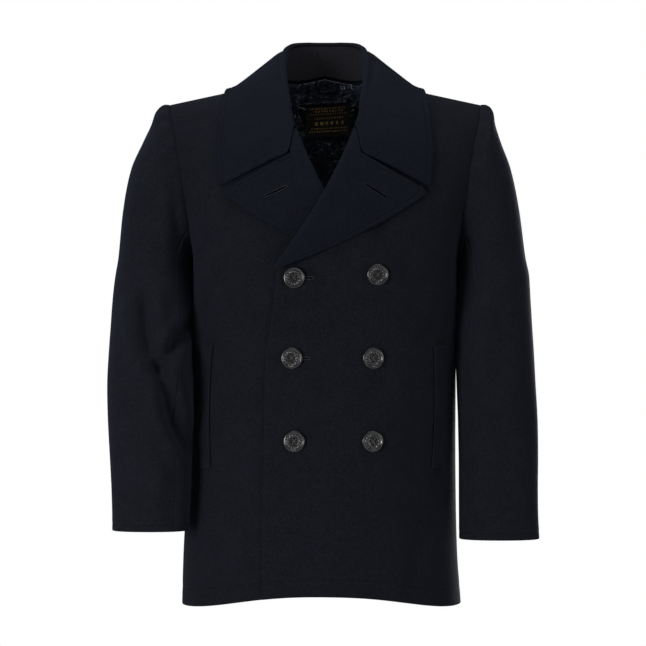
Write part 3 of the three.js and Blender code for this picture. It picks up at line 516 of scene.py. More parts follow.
def inner_reach(z):
    """Where a front panel ends past the centre: its front edge, its roll line, its neckline."""
    down = (BREAK_Z - z) / (BREAK_Z - HEM_SIDE_Z - HEM_FRONT_RISE)
    low = -lerp(BREAK_X, EDGE_LOW, smooth(3 * down))
    share = np.clip((z - BREAK_Z) / (GORGE_Z - BREAK_Z), 0, 1)
    roll = lerp(-BREAK_X, GORGE_X, share) + ROLL_BOW * np.sin(np.pi * share)
    up = np.clip((z - GORGE_Z) / (shoulder_height(NECK_HALF) - GORGE_Z), 0, 1)
    return np.where(z <= BREAK_Z, low, np.where(z <= GORGE_Z, roll, lerp(GORGE_X, NECK_HALF, up**0.5)))


def right_lapel_cover(x, z, spread=0.0):
    """1 over the right lapel and 0 away from it: a soft step past its roll line and lower edge."""
    inside_roll = -inner_reach(z) - x
    inside_edge = z - along(LAPEL_EDGE_COLUMNS, LAPEL_EDGE[1:], "x", -x)["z"]
    step = 34 + spread / 2
    return smooth((inside_roll + 56 + spread) / step) * smooth((inside_edge + 42 + spread) / step)


def front_out(side, x, z, spread=0.0):
    """Height of the outer face of a front above the form."""
    if side < 0:
        return 0.0 * x
    over_front = (CLOTH + LAY_GAP) * smooth((-inner_reach(z) + 54 + spread - x) / 36)
    return over_front + (DOUBLE + LAY_GAP + 1.3) * right_lapel_cover(x, z, spread)


# %% Even steps round a section
def even_from_angle(angle, v):
    """Where an angle lies on a scale that runs evenly round the section, 0 side to 1 centre."""
    past = angle > np.pi / 2
    share = np.clip(np.where(past, np.pi - angle, angle) / (np.pi / 2), 1e-9, 1 - 1e-9)
    root = (share / (1 - share)) ** (2 / power_at(v))
    return np.where(past, 2 - root / (1 + root), root / (1 + root))


def angle_from_even(even, v):
    past = even > 1
    share = np.clip(np.where(past, 2 - even, even), 0, 1)
    q = power_at(v) / 2
    angle = share**q / (share**q + (1 - share) ** q) * np.pi / 2
    return np.where(past, np.pi - angle, angle)


def body_levels(below, above, low=-1.0, high=1.0):
    return np.concatenate([np.linspace(low, 0, below, endpoint=False), np.linspace(0, high, above)])


def front_grids(side, below=98, above=82, columns=90):
    """Outer and inner face of a front: an even walk from its inner edge to the armhole."""
    v = body_levels(below, above)
    # The edge's place and its level depend on each other: some rounds settle both
    x = np.full(len(v), -80.0)
    for _ in range(14):
        end = np.where(v > 0, shoulder_height(x), hem_height(1, np.pi / 2))
        z = lerp(CHEST_Z, end, np.where(v > 0, rise_of(v), -v))
        x = lerp(x, inner_reach(z), 0.7)
    half = np.where(v <= 0, along(BODY_COLUMNS, BODY_ROWS, "height", z)["half"], half_width_at(1, v))
    inner = even_from_angle(angle_for(x, half, v), v)
    outer = even_from_angle(armhole_angle(1, v), v)
    level = np.broadcast_to(v[:, None], (len(v), columns + 1))
    angle = angle_from_even(lerp(inner[:, None], outer[:, None], steps(columns)), level)
    angle[:, -1] = armhole_angle(1, v)
    base = form_point(1, angle, level)
    lift = front_out(side, base[..., 0], base[..., 2])
    faces = [on_body(1, angle, level, lift - layer * CLOTH, side) for layer in (0, 1)]
    for face in faces:
        face[v <= 0, -1, 1] -= SEAM_GAP / 2
        face[-1, :, 1] -= SEAM_GAP / 2
    return faces


def lengths_from(grid, axis, back=False):
    """How far each point is from an end of its row or column, along the cloth."""
    grid = np.flip(grid, axis) if back else grid
    step = np.linalg.norm(np.diff(grid, axis=axis), axis=-1)
    start = np.zeros_like(np.take(step, [0], axis))
    made = np.cumsum(np.concatenate([start, step], axis), axis)
    return np.flip(made, axis) if back else made


def groove(face, back, distance, depth=0.7, width=1.5, puff=0.3):
    """Press a line of stitching into the face, and let the cloth puff up beside it."""
    way = depth * np.exp(-((distance / width) ** 2)) - puff * np.exp(-((distance / (3 * width)) ** 2))
    normals = grid_normals(face)
    outward = np.sign(np.sum(normals * (face - back), -1, keepdims=True))
    return face - normals * outward * way[..., None]


def hem_lines(face, stitch):
    """Stitching distances of a piece with one row of stitches, some way above its first row."""
    from_stitch = lengths_from(face, 0) - stitch
    return np.stack([np.full_like(from_stitch, NO_STITCH), from_stitch], -1)


def edge_lines(from_edge):
    """Stitching distances of a piece that is topstitched round its edges."""
    return np.stack([from_edge - EDGE_STITCH, np.full_like(from_edge, NO_STITCH)], -1)


EDGE_STITCH = 8.5  # from the edge of a collar or lapel to its topstitching
HEM_STITCH = 25.0
CUFF_STITCH = 10.0
FRONT_RIDGE = 6.0  # from the front edge to the soft ridge over its turned-in seam

front_faces = {side: front_grids(side) for side in (1, -1)}
print("front panel points:", front_faces[1][0].shape)

# %% [markdown]
# Melton is a wool cloth that is woven and then felted, until the weave is hidden by a fine nap. It
# reflects almost nothing face on, and a soft pale bloom at a glancing angle, which is the sheen of
# its hairs. An image of cloth is not needed for this: noise at three sizes gives the hairs, the
# felt's fine pits and a slight unevenness of the dye. The groups below are shared by all the cloth.


# %% Shared groups: felt, and lines of stitching
def new_group(name, inputs, outputs):
    group = bpy.data.node_groups.new(name, "ShaderNodeTree")
    for label, kind, default in inputs:
        socket = group.interface.new_socket(name=label, in_out="INPUT", socket_type=kind)
        if default is not None:
            socket.default_value = default
    for label, kind in outputs:
        group.interface.new_socket(name=label, in_out="OUTPUT", socket_type=kind)
    return group, group.nodes.new("NodeGroupInput"), group.nodes.new("NodeGroupOutput")


def node(tree, kind, values=None, **settings):
    made = tree.nodes.new(kind)
    for key, value in settings.items():
        setattr(made, key, value)
    for key, value in (values or {}).items():
        made.inputs[key].default_value = value
    return made


def maths(tree, operation, first, second=None, third=None, clamp=False):
    """A Math node whose inputs are sockets or plain numbers."""
    made = node(tree, "ShaderNodeMath", operation=operation, use_clamp=clamp)
    for place, value in enumerate((first, second, third)):
        if value is None:
            continue
        if isinstance(value, (int, float)):
            made.inputs[place].default_value = value
        else:
            tree.links.new(value, made.inputs[place])
    return made.outputs[0]


def mix_colour(tree, share, first, second):
    made = node(tree, "ShaderNodeMix", data_type="RGBA")
    for place, value in ((0, share), (6, first), (7, second)):
        if isinstance(value, (int, float, tuple)):
            made.inputs[place].default_value = value
        else:
            tree.links.new(value, made.inputs[place])
    return made.outputs[2]


def object_place(tree):
    return node(tree, "ShaderNodeTexCoord").outputs["Object"]


def noise(tree, where, scale, detail=2.0, roughness=0.5, distortion=0.0):
    """A noise texture at some place: scale says how many blotches lie along a metre."""
    values = {"Scale": scale, "Detail": detail, "Roughness": roughness, "Distortion": distortion}
    made = node(tree, "ShaderNodeTexNoise", values)
    tree.links.new(where, made.inputs["Vector"])
    return made.outputs["Fac"]


def bump(tree, height, strength, distance, under=None):
    """Small relief from a height, laid over coarser or finer relief if there is some."""
    made = node(tree, "ShaderNodeBump", {"Strength": strength, "Distance": distance})
    tree.links.new(height, made.inputs["Height"])
    if under:
        tree.links.new(under, made.inputs["Normal"])
    return made.outputs[0]


def two_tone(tree, surface, share, dark, light):
    """Colour a surface between two tones, by a texture."""
    tree.links.new(mix_colour(tree, share, (*dark, 1), (*light, 1)), surface.inputs["Base Color"])


def felt_group():
    """Colour and height of felted wool from the place on the object."""
    group, given, made = new_group(
        "felt",
        [
            ("Dark", "NodeSocketColor", None),
            ("Light", "NodeSocketColor", None),
            ("Purple", "NodeSocketColor", None),
        ],
        [("Colour", "NodeSocketColor"), ("Height", "NodeSocketFloat"), ("Roughness", "NodeSocketFloat")],
    )
    where = object_place(group)
    pits = noise(group, where, 620.0, 3.0, 0.65)
    hairs = noise(group, where, 1900.0, 2.0, 0.7)
    cloud = noise(group, where, 34.0, 4.0, 0.6)
    tone = noise(group, where, 90.0)
    tuft = noise(group, where, 330.0, 3.0, 0.6)
    fine = maths(group, "MULTIPLY_ADD", hairs, 0.3, maths(group, "MULTIPLY", pits, 0.7))
    spread = maths(group, "MULTIPLY_ADD", fine, 5.0, -2.0, clamp=True)
    tufts = maths(group, "MULTIPLY_ADD", tuft, 4.4, -1.7, clamp=True)
    uneven = maths(group, "MULTIPLY_ADD", cloud, 2.2, -0.6, clamp=True)
    share = maths(group, "MULTIPLY", spread, 0.42)
    share = maths(group, "MULTIPLY_ADD", uneven, 0.22, share, clamp=True)
    share = maths(group, "MULTIPLY_ADD", tufts, 0.36, share, clamp=True)
    colour = mix_colour(group, share, given.outputs["Dark"], given.outputs["Light"])
    dyed = maths(group, "MULTIPLY_ADD", tone, 3.0, -1.35, clamp=True)
    colour = mix_colour(group, maths(group, "MULTIPLY", dyed, 0.35), colour, given.outputs["Purple"])
    group.links.new(colour, made.inputs["Colour"])
    group.links.new(fine, made.inputs["Height"])
    group.links.new(maths(group, "MULTIPLY_ADD", fine, 0.2, 0.78), made.inputs["Roughness"])
    return group


STITCH_LENGTH = 0.0034  # metres, as everything in a material
THREAD_SHARE = 0.72  # of each stitch that is thread
THREAD_HALF, GROOVE_HALF = 0.00032, 0.0013  # half widths of a thread and of the groove it lies in


def stitch_group():
    """Masks of the topstitching and the hem stitching, from the two distances kept as a UV map.
    A stitch is a short thread on the line, broken at even steps, in a shallow groove."""
    group, given, made = new_group(
        "stitching",
        [("Stitch Length", "NodeSocketFloat", STITCH_LENGTH)],
        [("Thread", "NodeSocketFloat"), ("Groove", "NodeSocketFloat")],
    )
    lines = node(group, "ShaderNodeSeparateXYZ")
    group.links.new(node(group, "ShaderNodeUVMap", uv_map="lines").outputs[0], lines.inputs[0])
    flat = node(group, "ShaderNodeSeparateXYZ")
    group.links.new(node(group, "ShaderNodeUVMap", uv_map="cloth").outputs[0], flat.inputs[0])
    run = maths(group, "ADD", flat.outputs[0], flat.outputs[1])
    step = maths(group, "FRACT", maths(group, "DIVIDE", run, given.outputs["Stitch Length"]))
    dash = maths(group, "LESS_THAN", step, THREAD_SHARE)
    near = maths(group, "ABSOLUTE", lines.outputs[0])
    thread = maths(group, "MULTIPLY", maths(group, "LESS_THAN", near, THREAD_HALF), dash)
    hem = maths(group, "ABSOLUTE", lines.outputs[1])
    closest = maths(group, "MINIMUM", near, hem)
    away = maths(group, "DIVIDE", closest, GROOVE_HALF, clamp=True)
    dip = maths(group, "SUBTRACT", 1.0, away, clamp=True)
    group.links.new(thread, made.inputs["Thread"])
    group.links.new(dip, made.inputs["Groove"])
    return group


FELT = felt_group()
STITCHES = stitch_group()
print("groups:", FELT.name, STITCHES.name)


# %% Melton for the body and for the collar
def new_material(name):
    material = bpy.data.materials.new(name)
    material.use_nodes = True
    tree = material.node_tree
    return material, tree, tree.nodes["Principled BSDF"]


NECK_REACH = 0.0535  # metres from the centre to where the collar's fold leaves the neck's back
MOST_BACKWARD = 0.45  # how far a face may look backwards and still count as turned to the neck


def painted_neck_shade_mask(tree):
    """1 on the side of the fold that faces the neck at the back, by place and by facing. Shade is
    painted there.
    """
    place, facing = node(tree, "ShaderNodeSeparateXYZ"), node(tree, "ShaderNodeSeparateXYZ")
    tree.links.new(object_place(tree), place.inputs[0])
    tree.links.new(node(tree, "ShaderNodeNewGeometry").outputs["True Normal"], facing.inputs[0])
    near = maths(tree, "LESS_THAN", maths(tree, "ABSOLUTE", place.outputs[0]), NECK_REACH)
    behind = maths(tree, "MULTIPLY", near, maths(tree, "GREATER_THAN", place.outputs[1], 0.0))
    return maths(tree, "MULTIPLY", behind, maths(tree, "LESS_THAN", facing.outputs[1], MOST_BACKWARD))


def melton(name, dark, light, purple, sheen, neck=None):
    """Felt from the shared group, lighter on its thread, with painted shade in the stitching grooves."""
    material, tree, cloth = new_material(name)
    felt = node(tree, "ShaderNodeGroup", node_tree=FELT)
    felt.inputs["Dark"].default_value = (*dark, 1)
    felt.inputs["Light"].default_value = (*light, 1)
    felt.inputs["Purple"].default_value = (*purple, 1)
    stitches = node(tree, "ShaderNodeGroup", node_tree=STITCHES)
    # Painted shade: the felt's colour is darkened in the grooves of stitching
    shade = maths(tree, "MULTIPLY", stitches.outputs["Groove"], 0.35)
    colour = mix_colour(tree, shade, felt.outputs["Colour"], (*dark, 1))
    on_thread = maths(tree, "MULTIPLY", stitches.outputs["Thread"], 0.6)
    colour = mix_colour(tree, on_thread, colour, (*light, 1))
    # Painted shade on the side of the collar's fold that faces the neck
    if neck:
        colour = mix_colour(tree, painted_neck_shade_mask(tree), colour, (*neck, 1))
    tree.links.new(colour, cloth.inputs["Base Color"])
    tree.links.new(felt.outputs["Roughness"], cloth.inputs["Roughness"])
    height = maths(tree, "MULTIPLY_ADD", stitches.outputs["Groove"], -1.4, felt.outputs["Height"])
    height = maths(tree, "ADD", height, stitches.outputs["Thread"])
    tree.links.new(bump(tree, height, 0.6, 0.0008), cloth.inputs["Normal"])
    cloth.inputs["Specular IOR Level"].default_value = 0.12
    cloth.inputs["Sheen Weight"].default_value = sheen
    cloth.inputs["Sheen Roughness"].default_value = 0.55
    cloth.inputs["Sheen Tint"].default_value = (0.34, 0.44, 0.72, 1)
    return material


# Each cloth: the dark between the tufts, the light on them, the purple of some hairs, the sheen
BODY_CLOTH = melton(
    "melton_body", (0.0006, 0.0008, 0.0015), (0.0084, 0.0100, 0.0148), (0.0066, 0.0052, 0.0144), 0.05
)
# The sleeves' melton is the body's made lighter: painted light on the sleeves
SLEEVE_CLOTH_PAINTED_LIGHT = melton(
    "melton_sleeve_painted_light", (0.0007, 0.0009, 0.0016), (0.0096, 0.0110, 0.0160), (0.0082, 0.0060, 0.0168), 0.065
)
# Painted shade: the colour given to the collar's fold where it faces the neck
NECK_SHADE = (0.0040, 0.0036, 0.0046)  # the collar's colour where it faces the neck
# The collar's and the lapels' melton is darker than the body's: painted shade
COLLAR_CLOTH_PAINTED_SHADE = melton(
    "melton_collar_painted_shade", (0.0006, 0.0010, 0.0023), (0.0056, 0.0076, 0.0152), (0.0044, 0.0036, 0.0110), 0.045,
    NECK_SHADE,
)
STAND_CLOTH = melton(
    "melton_stand", (0.0042, 0.0038, 0.0048), (0.0180, 0.0164, 0.0210), (0.0160, 0.0112, 0.0190), 0.06
)
print("cloths:", BODY_CLOTH.name, SLEEVE_CLOTH_PAINTED_LIGHT.name, COLLAR_CLOTH_PAINTED_SHADE.name, STAND_CLOTH.name)

# %% The two front panels
for side, word in SIDES:
    outer, inner = front_faces[side]
    outer = groove(outer, inner, lengths_from(outer, 1) - FRONT_RIDGE, depth=-0.9, width=4.0, puff=0)
    lines = hem_lines(outer, HEM_STITCH)
    outer = groove(outer, inner, lines[..., 1], depth=0.35, width=5.0, puff=0.1)
    piece = shell(f"front_{word}_cloth", outer, inner, lines, soft=(1, SEWN, SEWN, 1))
    wear(piece, [f"front_{word}"], BODY_CLOTH, outer)

# %% [markdown]
# The back is two pieces of the same cloth, joined by a seam down the middle, and it carries the
# deepest waves of the coat, because nothing presses it flat. The lining lies 0.6 mm behind it.
# Satin is thin and slippery, so it is pleated and creased where the collar's seam draws it in.


# %% The back and its lining
def back_grids(outs, below, above, t, low=-1.0, high=1.0, reach=1.0, press=None):
    """Faces of a piece on the back, at some heights off the form. t runs across the back, from
    -1 at the right armhole or side seam through 0 in the middle to 1 at the left."""
    v = body_levels(below, above, low, high)
    edge = lerp(np.pi / 2, armhole_angle(-1, v), reach)
    level = np.broadcast_to(v[:, None], (len(v), len(t)))
    end = even_from_angle(edge, v)[:, None]
    angle = angle_from_even(lerp(1.0, end, np.abs(t)), level)
    angle[:, np.abs(t) == 1] = edge[:, None]
    side = np.where(t < 0, -1.0, 1.0) if t.max() > 0 else -1.0
    base = form_point(-1, angle, level)
    extra = press(side * base[..., 0], base[..., 2]) if press else 0.0
    faces = [on_body(-1, angle, level, out - extra + 0.0 * angle, side) for out in outs]
    if reach == 1.0:
        for face in faces:
            face[:, np.abs(t) == 1, 1] += np.where(v <= 0, SEAM_GAP / 2, 0)[:, None]
            face[-1, :, 1] += np.where(np.abs(face[-1, :, 0]) > NECK_HALF, SEAM_GAP / 2, 0)
            face[:, t == 0, 0] += SEAM_GAP / 2 * (1 if t.max() > 0 else -1)
    return faces


for side, word in SIDES:
    outer, inner = back_grids([0, -CLOTH], 98, 82, side * steps(58))
    lines = hem_lines(outer, HEM_STITCH)
    outer = groove(outer, inner, lines[..., 1], depth=0.35, width=5.0, puff=0.1)
    piece = shell(f"back_{word}_cloth", outer, inner, lines, soft=(1, SEWN, SEWN, SEWN))
    wear(piece, [f"back_{word}"], BODY_CLOTH, outer)


# Each fold of the lining is a line too: from x and z, to x and z, height, width
SATIN_CREASES = [
    (-40, -12, 44, -2, 2.6, 3.0),
    (-24, -27, 40, -13, 3.0, 3.8),
    (20, -12, 62, 4, 2.6, 3.2),
    (38, -30, 60, -8, 3.2, 3.4),
    (44, -56, 62, -34, 2.8, 3.6),
    (6, -84, 48, -58, 3.4, 4.0),
    (14, -98, 54, -72, 3.0, 3.6),
    (26, -110, 58, -88, 3.2, 3.8),
    (-60, -20, -34, -60, 1.8, 5.0),
    (-20, -96, 10, -150, 2.0, 7.0),
    (40, -120, 66, -190, 2.0, 8.0),
]


def satin_folds(x, z):
    """Inward folds of the lining: short pleats hanging from the neck seam, and creases that run
    down from it to the side, as bells of the distance to a line. They die out under the label."""
    made = 1.5 * np.exp(-((z + 6) / 13) ** 2) * (0.5 + 0.5 * np.sin(x / 1.75 + np.sin(x / 5.0)))
    for *line, height, width in SATIN_CREASES:
        t, side = beside_line(x, z, *line)
        side = side + 1.6 * np.sin(7 * t + line[0])
        ends = smooth(t / 0.35 + 0.5) * smooth((1 - t) / 0.35 + 0.5)
        made = made + height * np.exp(-((side / width) ** 2)) * ends
    label = smooth((44 - np.abs(x - 5.5)) / 7) * smooth((31 - np.abs(z + 55)) / 6)
    broad = 1.6 * np.sin(x / 15.0 + z / 60.0) * smooth((-z - 90) / 60)
    return (made + np.maximum(broad, 0)) * (1 - 0.9 * label) * smooth((z + 760) / 60)


LINING_OUT = -CLOTH - SEAM_GAP - 0.32
LINING_REACH = 0.889  # share of the way to the armhole that the lining covers


def satin(name, dark, light, roughness):
    """Satin: fine warp threads along one way, smooth and glossy, faintly uneven."""
    material, tree, cloth = new_material(name)
    flat = node(tree, "ShaderNodeUVMap", uv_map="cloth")
    threads = node(tree, "ShaderNodeMapping")
    threads.inputs["Scale"].default_value = (2600.0, 260.0, 1.0)
    tree.links.new(flat.outputs[0], threads.inputs["Vector"])
    weave = noise(tree, threads.outputs[0], 1.0)
    crumple = noise(tree, object_place(tree), 42.0, distortion=1.4)
    two_tone(tree, cloth, weave, dark, light)
    relief = bump(tree, crumple, 0.75, 0.009, under=bump(tree, weave, 0.12, 0.0002))
    tree.links.new(relief, cloth.inputs["Normal"])
    glossy = maths(tree, "MULTIPLY_ADD", weave, 0.12, roughness - 0.06)
    tree.links.new(glossy, cloth.inputs["Roughness"])
    cloth.inputs["Specular IOR Level"].default_value = 1.0
    cloth.inputs["Specular Tint"].default_value = (0.72, 0.80, 1.0, 1)
    cloth.inputs["Sheen Weight"].default_value = 0.25
    cloth.inputs["Sheen Tint"].default_value = (0.5, 0.55, 0.9, 1)
    return material


SATIN = satin("satin_lining", (0.0044, 0.0056, 0.0108), (0.0150, 0.0185, 0.0360), 0.36)
across = np.linspace(-1, 1, 131)
face, away = back_grids(
    [LINING_OUT, LINING_OUT - LINING], 50, 120, across, -0.95, 0.96, LINING_REACH, satin_folds
)
wear(shell("lining_cloth", face, away), ["lining_back"], SATIN, away)

# %% [markdown]
# The label is a stiff woven patch, sewn flat on the lining, with rows of plain gold dashes. A
# picture of the rows would lie flat, so the dashes are small pillows of thread that catch the light
# one by one. The loop is a padded band of satin, sewn into the neck seam.


# %% Label, and the loop to hang the coat by
def on_lining(x, z, in_from_lining):
    """Points at the lining, moved towards the wearer."""
    lift = LINING_OUT - LINING - in_from_lining - satin_folds(x, z)
    return on_body_at(-1, np.abs(x), z, lift, np.where(x < 0, -1.0, 1.0))


LABEL_LEFT, LABEL_RIGHT = -30.5, 40.0
LABEL_FOOT, LABEL_TOP = -75.5, -29.0


def label_point(across, up, lift):
    x = lerp(LABEL_LEFT, LABEL_RIGHT, across)
    curl = 0.8 * np.sin(5.2 * across + 0.6) * (0.4 + 0.6 * up)
    return on_lining(x, lerp(LABEL_FOOT, LABEL_TOP, up) + 0.05 * x, lift + 0.9 + curl)


def woven_label():
    """Fine ribs across the label, as waves along its own flat length."""
    material, tree, cloth = new_material("woven_label")
    flat = node(tree, "ShaderNodeUVMap", uv_map="cloth")
    rows = node(tree, "ShaderNodeTexWave", {"Scale": 620.0, "Distortion": 0.6}, bands_direction="Y")
    tree.links.new(flat.outputs[0], rows.inputs["Vector"])
    ribs = rows.outputs["Fac"]
    two_tone(tree, cloth, ribs, (0.0110, 0.0108, 0.0075), (0.0360, 0.0340, 0.0240))
    tree.links.new(bump(tree, ribs, 0.5, 0.0002), cloth.inputs["Normal"])
    cloth.inputs["Roughness"].default_value = 0.62
    return material


def thread(name, dark, light, roughness=0.5, sheen=0.2):
    """Twisted thread: the plies are a drawn-out noise on the object's own place."""
    material, tree, cloth = new_material(name)
    plies = noise(tree, object_place(tree), 1500.0, distortion=1.2)
    two_tone(tree, cloth, plies, dark, light)
    tree.links.new(bump(tree, plies, 0.6, 0.0003), cloth.inputs["Normal"])
    cloth.inputs["Roughness"].default_value = roughness
    cloth.inputs["Sheen Weight"].default_value = sheen
    return material


down, across = grid_of(steps(36), steps(54))
label_face, label_back = label_point(across, down, 1.0), label_point(across, down, 0.0)
wear(shell("label_patch", label_face, label_back), ["label"], woven_label(), label_face)

# Each row of dashes, as shares of the label: up, from, to, length of a dash, height of a dash
DASH_ROWS = [
    (0.915, 0.08, 0.90, 0.034, 0.044),
    (0.825, 0.20, 0.86, 0.044, 0.050),
    (0.735, 0.08, 0.94, 0.026, 0.030),
    (0.600, 0.18, 0.88, 0.038, 0.048),
    (0.435, 0.20, 0.90, 0.078, 0.105),
    (0.270, 0.12, 0.92, 0.040, 0.046),
    (0.175, 0.08, 0.96, 0.034, 0.046),
]


def gold_dashes():
    """Each dash is a small pillow: a grid whose height is one less the fourth power of the way
    out from its middle. All the dashes are worked out as one array."""
    centres, sizes = [], []
    for up, start, end, length, height in DASH_ROWS:
        at = np.arange(start + length / 2, end, length * 1.5)
        centres.append(np.stack([at, np.full_like(at, up)], -1))
        uneven = 0.72 + 0.28 * np.sin(at * 61.0 + up * 40.0)
        sizes.append(np.stack([length / 2 * uneven, np.full_like(at, height / 2)], -1))
    centres, sizes = np.concatenate(centres), np.concatenate(sizes)
    n = 7  # points along each side of a dash
    v, u = grid_of(np.linspace(-1, 1, n), np.linspace(-1, 1, n))
    place = centres[:, None, None] + sizes[:, None, None] * np.stack([u, v], -1)
    rise = 1.15 + 0.4 * (1 - np.maximum(np.abs(u), np.abs(v)) ** 4)
    top = label_point(place[..., 0], place[..., 1], np.broadcast_to(rise, place.shape[:3]))
    foot = label_point(place[..., 0], place[..., 1], 1.05 + 0.0 * place[..., 0])
    count = n * n
    index = np.arange(count).reshape(n, n)
    grid, ring = grid_quads(index), rim_of(index)
    wall = np.stack([ring, ring + count, np.roll(ring, -1) + count, np.roll(ring, -1)], -1)
    one = np.concatenate([grid[:, ::-1], grid + count, wall[:, ::-1]])
    verts = np.concatenate([top.reshape(-1, count, 3), foot.reshape(-1, count, 3)], axis=1)
    quads = one[None] + (np.arange(len(verts)) * 2 * count)[:, None, None]
    return make_mesh("label_dashes", verts.reshape(-1, 3), quads.reshape(-1, 4))


GOLD_THREAD = thread("gold_thread", (0.55, 0.345, 0.090), (1.0, 0.70, 0.23), 0.42)
wear(gold_dashes(), [], GOLD_THREAD)

LOOP_COLUMNS = ["t", "x", "z"]
LOOP_PATH = [
    (0, -18.2, 0.4),
    (0.11, -17.5, -6.5),
    (0.24, -11, -12.5),
    (0.4, -1, -15),
    (0.56, 9, -15.5),
    (0.72, 18, -13.6),
    (0.88, 26.5, -9),
    (1, 29.5, -2.6),
]
LOOP_HALF = 3.0  # half the width of the band


def loop_grids(length_steps=70, round_steps=12):
    """A padded band: at each place of the path a flat oval, crossed from side to side."""
    t, s = grid_of(steps(length_steps), np.linspace(-1, 1, round_steps + 1))
    at = along(LOOP_COLUMNS, LOOP_PATH, "t", t)
    ahead = along(LOOP_COLUMNS, LOOP_PATH, "t", np.minimum(t + 0.01, 1))
    behind = along(LOOP_COLUMNS, LOOP_PATH, "t", np.maximum(t - 0.01, 0))
    dx, dz = ahead["x"] - behind["x"], ahead["z"] - behind["z"]
    length = np.hypot(dx, dz)
    x, z = at["x"] - dz / length * s * LOOP_HALF, at["z"] + dx / length * s * LOOP_HALF
    stand = 1.2 + 2.2 * np.sin(np.pi * t)
    belly = np.sqrt(np.maximum(1 - s**2, 0.05)) * 1.1
    return on_lining(x, z, stand + belly), on_lining(x, z, stand - 0.35 * belly)


LOOP_SATIN = satin("loop_satin", (0.004, 0.005, 0.010), (0.014, 0.016, 0.026), 0.42)
face, away = loop_grids()
wear(shell("hanger_loop_band", face, away, rim_steps=1), ["hanger_loop"], LOOP_SATIN)

# %% [markdown]
# A tailored sleeve is two pieces of cloth: a wide one over the top of the arm and a narrow one
# beneath, joined at the front and at the back of the arm. It is built from rings. The first ring is
# the armhole itself, the next ones lean out like the ribs of a fan round the shoulder, and then
# they lie level down to the cuff. A spline through the rings gives all the rows in between.

# %% Rings of the sleeves
# "apart" is how much further out the right sleeve reaches than the left one
HEAD_COLUMNS = ["out_x", "out_z", "in_x", "in_z", "depth", "middle", "apart"]
HEAD_RINGS = [
    (237, -37, 196.3, -271, 72, 1, 0),
    (245, -41.5, 197, -272.5, 73, 0, 0),
    (249, -50, 197.2, -274.5, 74, -1, 2),
    (251.5, -67, 197.2, -277, 75, -2, 5),
    (259.5, -93, 197, -280, 76, -4, 9),
    (274, -133, 196.6, -284, 77, -6, 12),
    (286, -192, 196.1, -289, 77, -9, 11),
    (295, -262, 195.6, -296, 76, -13, 9),
]
ARM_COLUMNS = ["height", "in_x", "out_x", "depth", "middle"]
ARM_RINGS = {
    -1: [
        (-310, 195, 308, 75, -20),
        (-340, 195.4, 311.5, 73, -38),
        (-400, 194, 314.5, 68, -64),
        (-450, 191, 316, 63, -78),
        (-500, 191, 315, 58, -82),
        (-560, 193, 311.5, 52, -84),
        (-620, 195, 308.5, 46, -85),
        (-660, 197, 308, 42, -86),
    ],
    1: [
        (-310, 194.4, 300, 75, -18),
        (-340, 193.9, 302.5, 72, -25),
        (-400, 192.3, 306, 67, -36),
        (-450, 192.6, 308.5, 62, -41),
        (-500, 194.5, 311, 57, -44),
        (-560, 195.5, 311.5, 51, -46),
        (-620, 195.5, 311, 46, -48),
        (-675, 196, 313, 42, -50),
    ],
}
ARM_HEIGHTS = [-310, -326, -345, -365, -385, -405, -425, -445, -468, -495, -525, -560, -600, -640]
START_RING = np.array([229, TIP_Z, 194, CHEST_Z, 70, 2], float)


def ring_table(side):
    """All rings of a sleeve as rows: outer end, inner end, depth and middle."""
    head = np.array(HEAD_RINGS, float)
    if side < 0:
        head[:, HEAD_COLUMNS.index("out_x")] += head[:, HEAD_COLUMNS.index("apart")]
    heights = np.array(ARM_HEIGHTS + [ARM_RINGS[side][-1][0]], float)
    arm = along(ARM_COLUMNS, ARM_RINGS[side], "height", heights)
    tilt = 22 * (1 - smooth((-310 - heights) / 60))
    ends = [arm["out_x"], heights + tilt, arm["in_x"], heights]
    return np.concatenate([head[:, :6], np.stack([*ends, arm["depth"], arm["middle"]], -1)])


def ring_point(rings, turn):
    """A ring is an ellipse, a little squarer, leaning between its outer and its inner end."""
    angle = turn * 2 * np.pi
    inward = (1 - signed_power(np.cos(angle), 0.92)) / 2
    out_x, out_z, in_x, in_z, depth, middle = np.moveaxis(rings, -1, 0)
    y = middle - depth * signed_power(np.sin(angle), 0.92)
    return np.stack(np.broadcast_arrays(lerp(out_x, in_x, inward), y, lerp(out_z, in_z, inward)), -1)


def armhole_point(turn, out):
    """A point of the armhole's edge, some way round it, at some height off the form."""
    rise = np.clip((1 + np.cos(turn * 2 * np.pi)) / 2, 0, 1)
    v = np.arcsin(rise) / (np.pi / 2)
    front = np.mod(turn, 1) <= 0.5
    faces = [
        form_point(face, armhole_angle(face, v), v) + form_normal(face, armhole_angle(face, v), v) * out
        for face in (1, -1)
    ]
    return np.where(front[..., None], faces[0], faces[1])


def spline_rows(rows, count):
    """Even rows on a smooth curve through the given ones: a cubic with mean slopes."""
    step = np.linalg.norm(np.diff(rows, axis=0), axis=-1).mean(axis=1)
    place = np.concatenate([[0.0], np.cumsum(step)])
    at = np.linspace(0, place[-1], count)
    i = np.clip(np.searchsorted(place, at, side="right") - 1, 0, len(rows) - 2)
    low, high = np.maximum(i - 1, 0), np.minimum(i + 2, len(rows) - 1)
    span = (place[i + 1] - place[i])[:, None, None]
    t = (at - place[i])[:, None, None] / span
    slope_a = (rows[i + 1] - rows[low]) / (place[i + 1] - place[low])[:, None, None] * span
    slope_b = (rows[high] - rows[i]) / (place[high] - place[i])[:, None, None] * span
    a, b = rows[i], rows[i + 1]
    made = (2 * t**3 - 3 * t**2 + 1) * a + (t**3 - 2 * t**2 + t) * slope_a
    return made + (3 * t**2 - 2 * t**3) * b + (t**3 - t**2) * slope_b, at


def turn_of_level(v):
    return float(np.arccos(2 * rise_of(v) - 1) / (2 * np.pi))


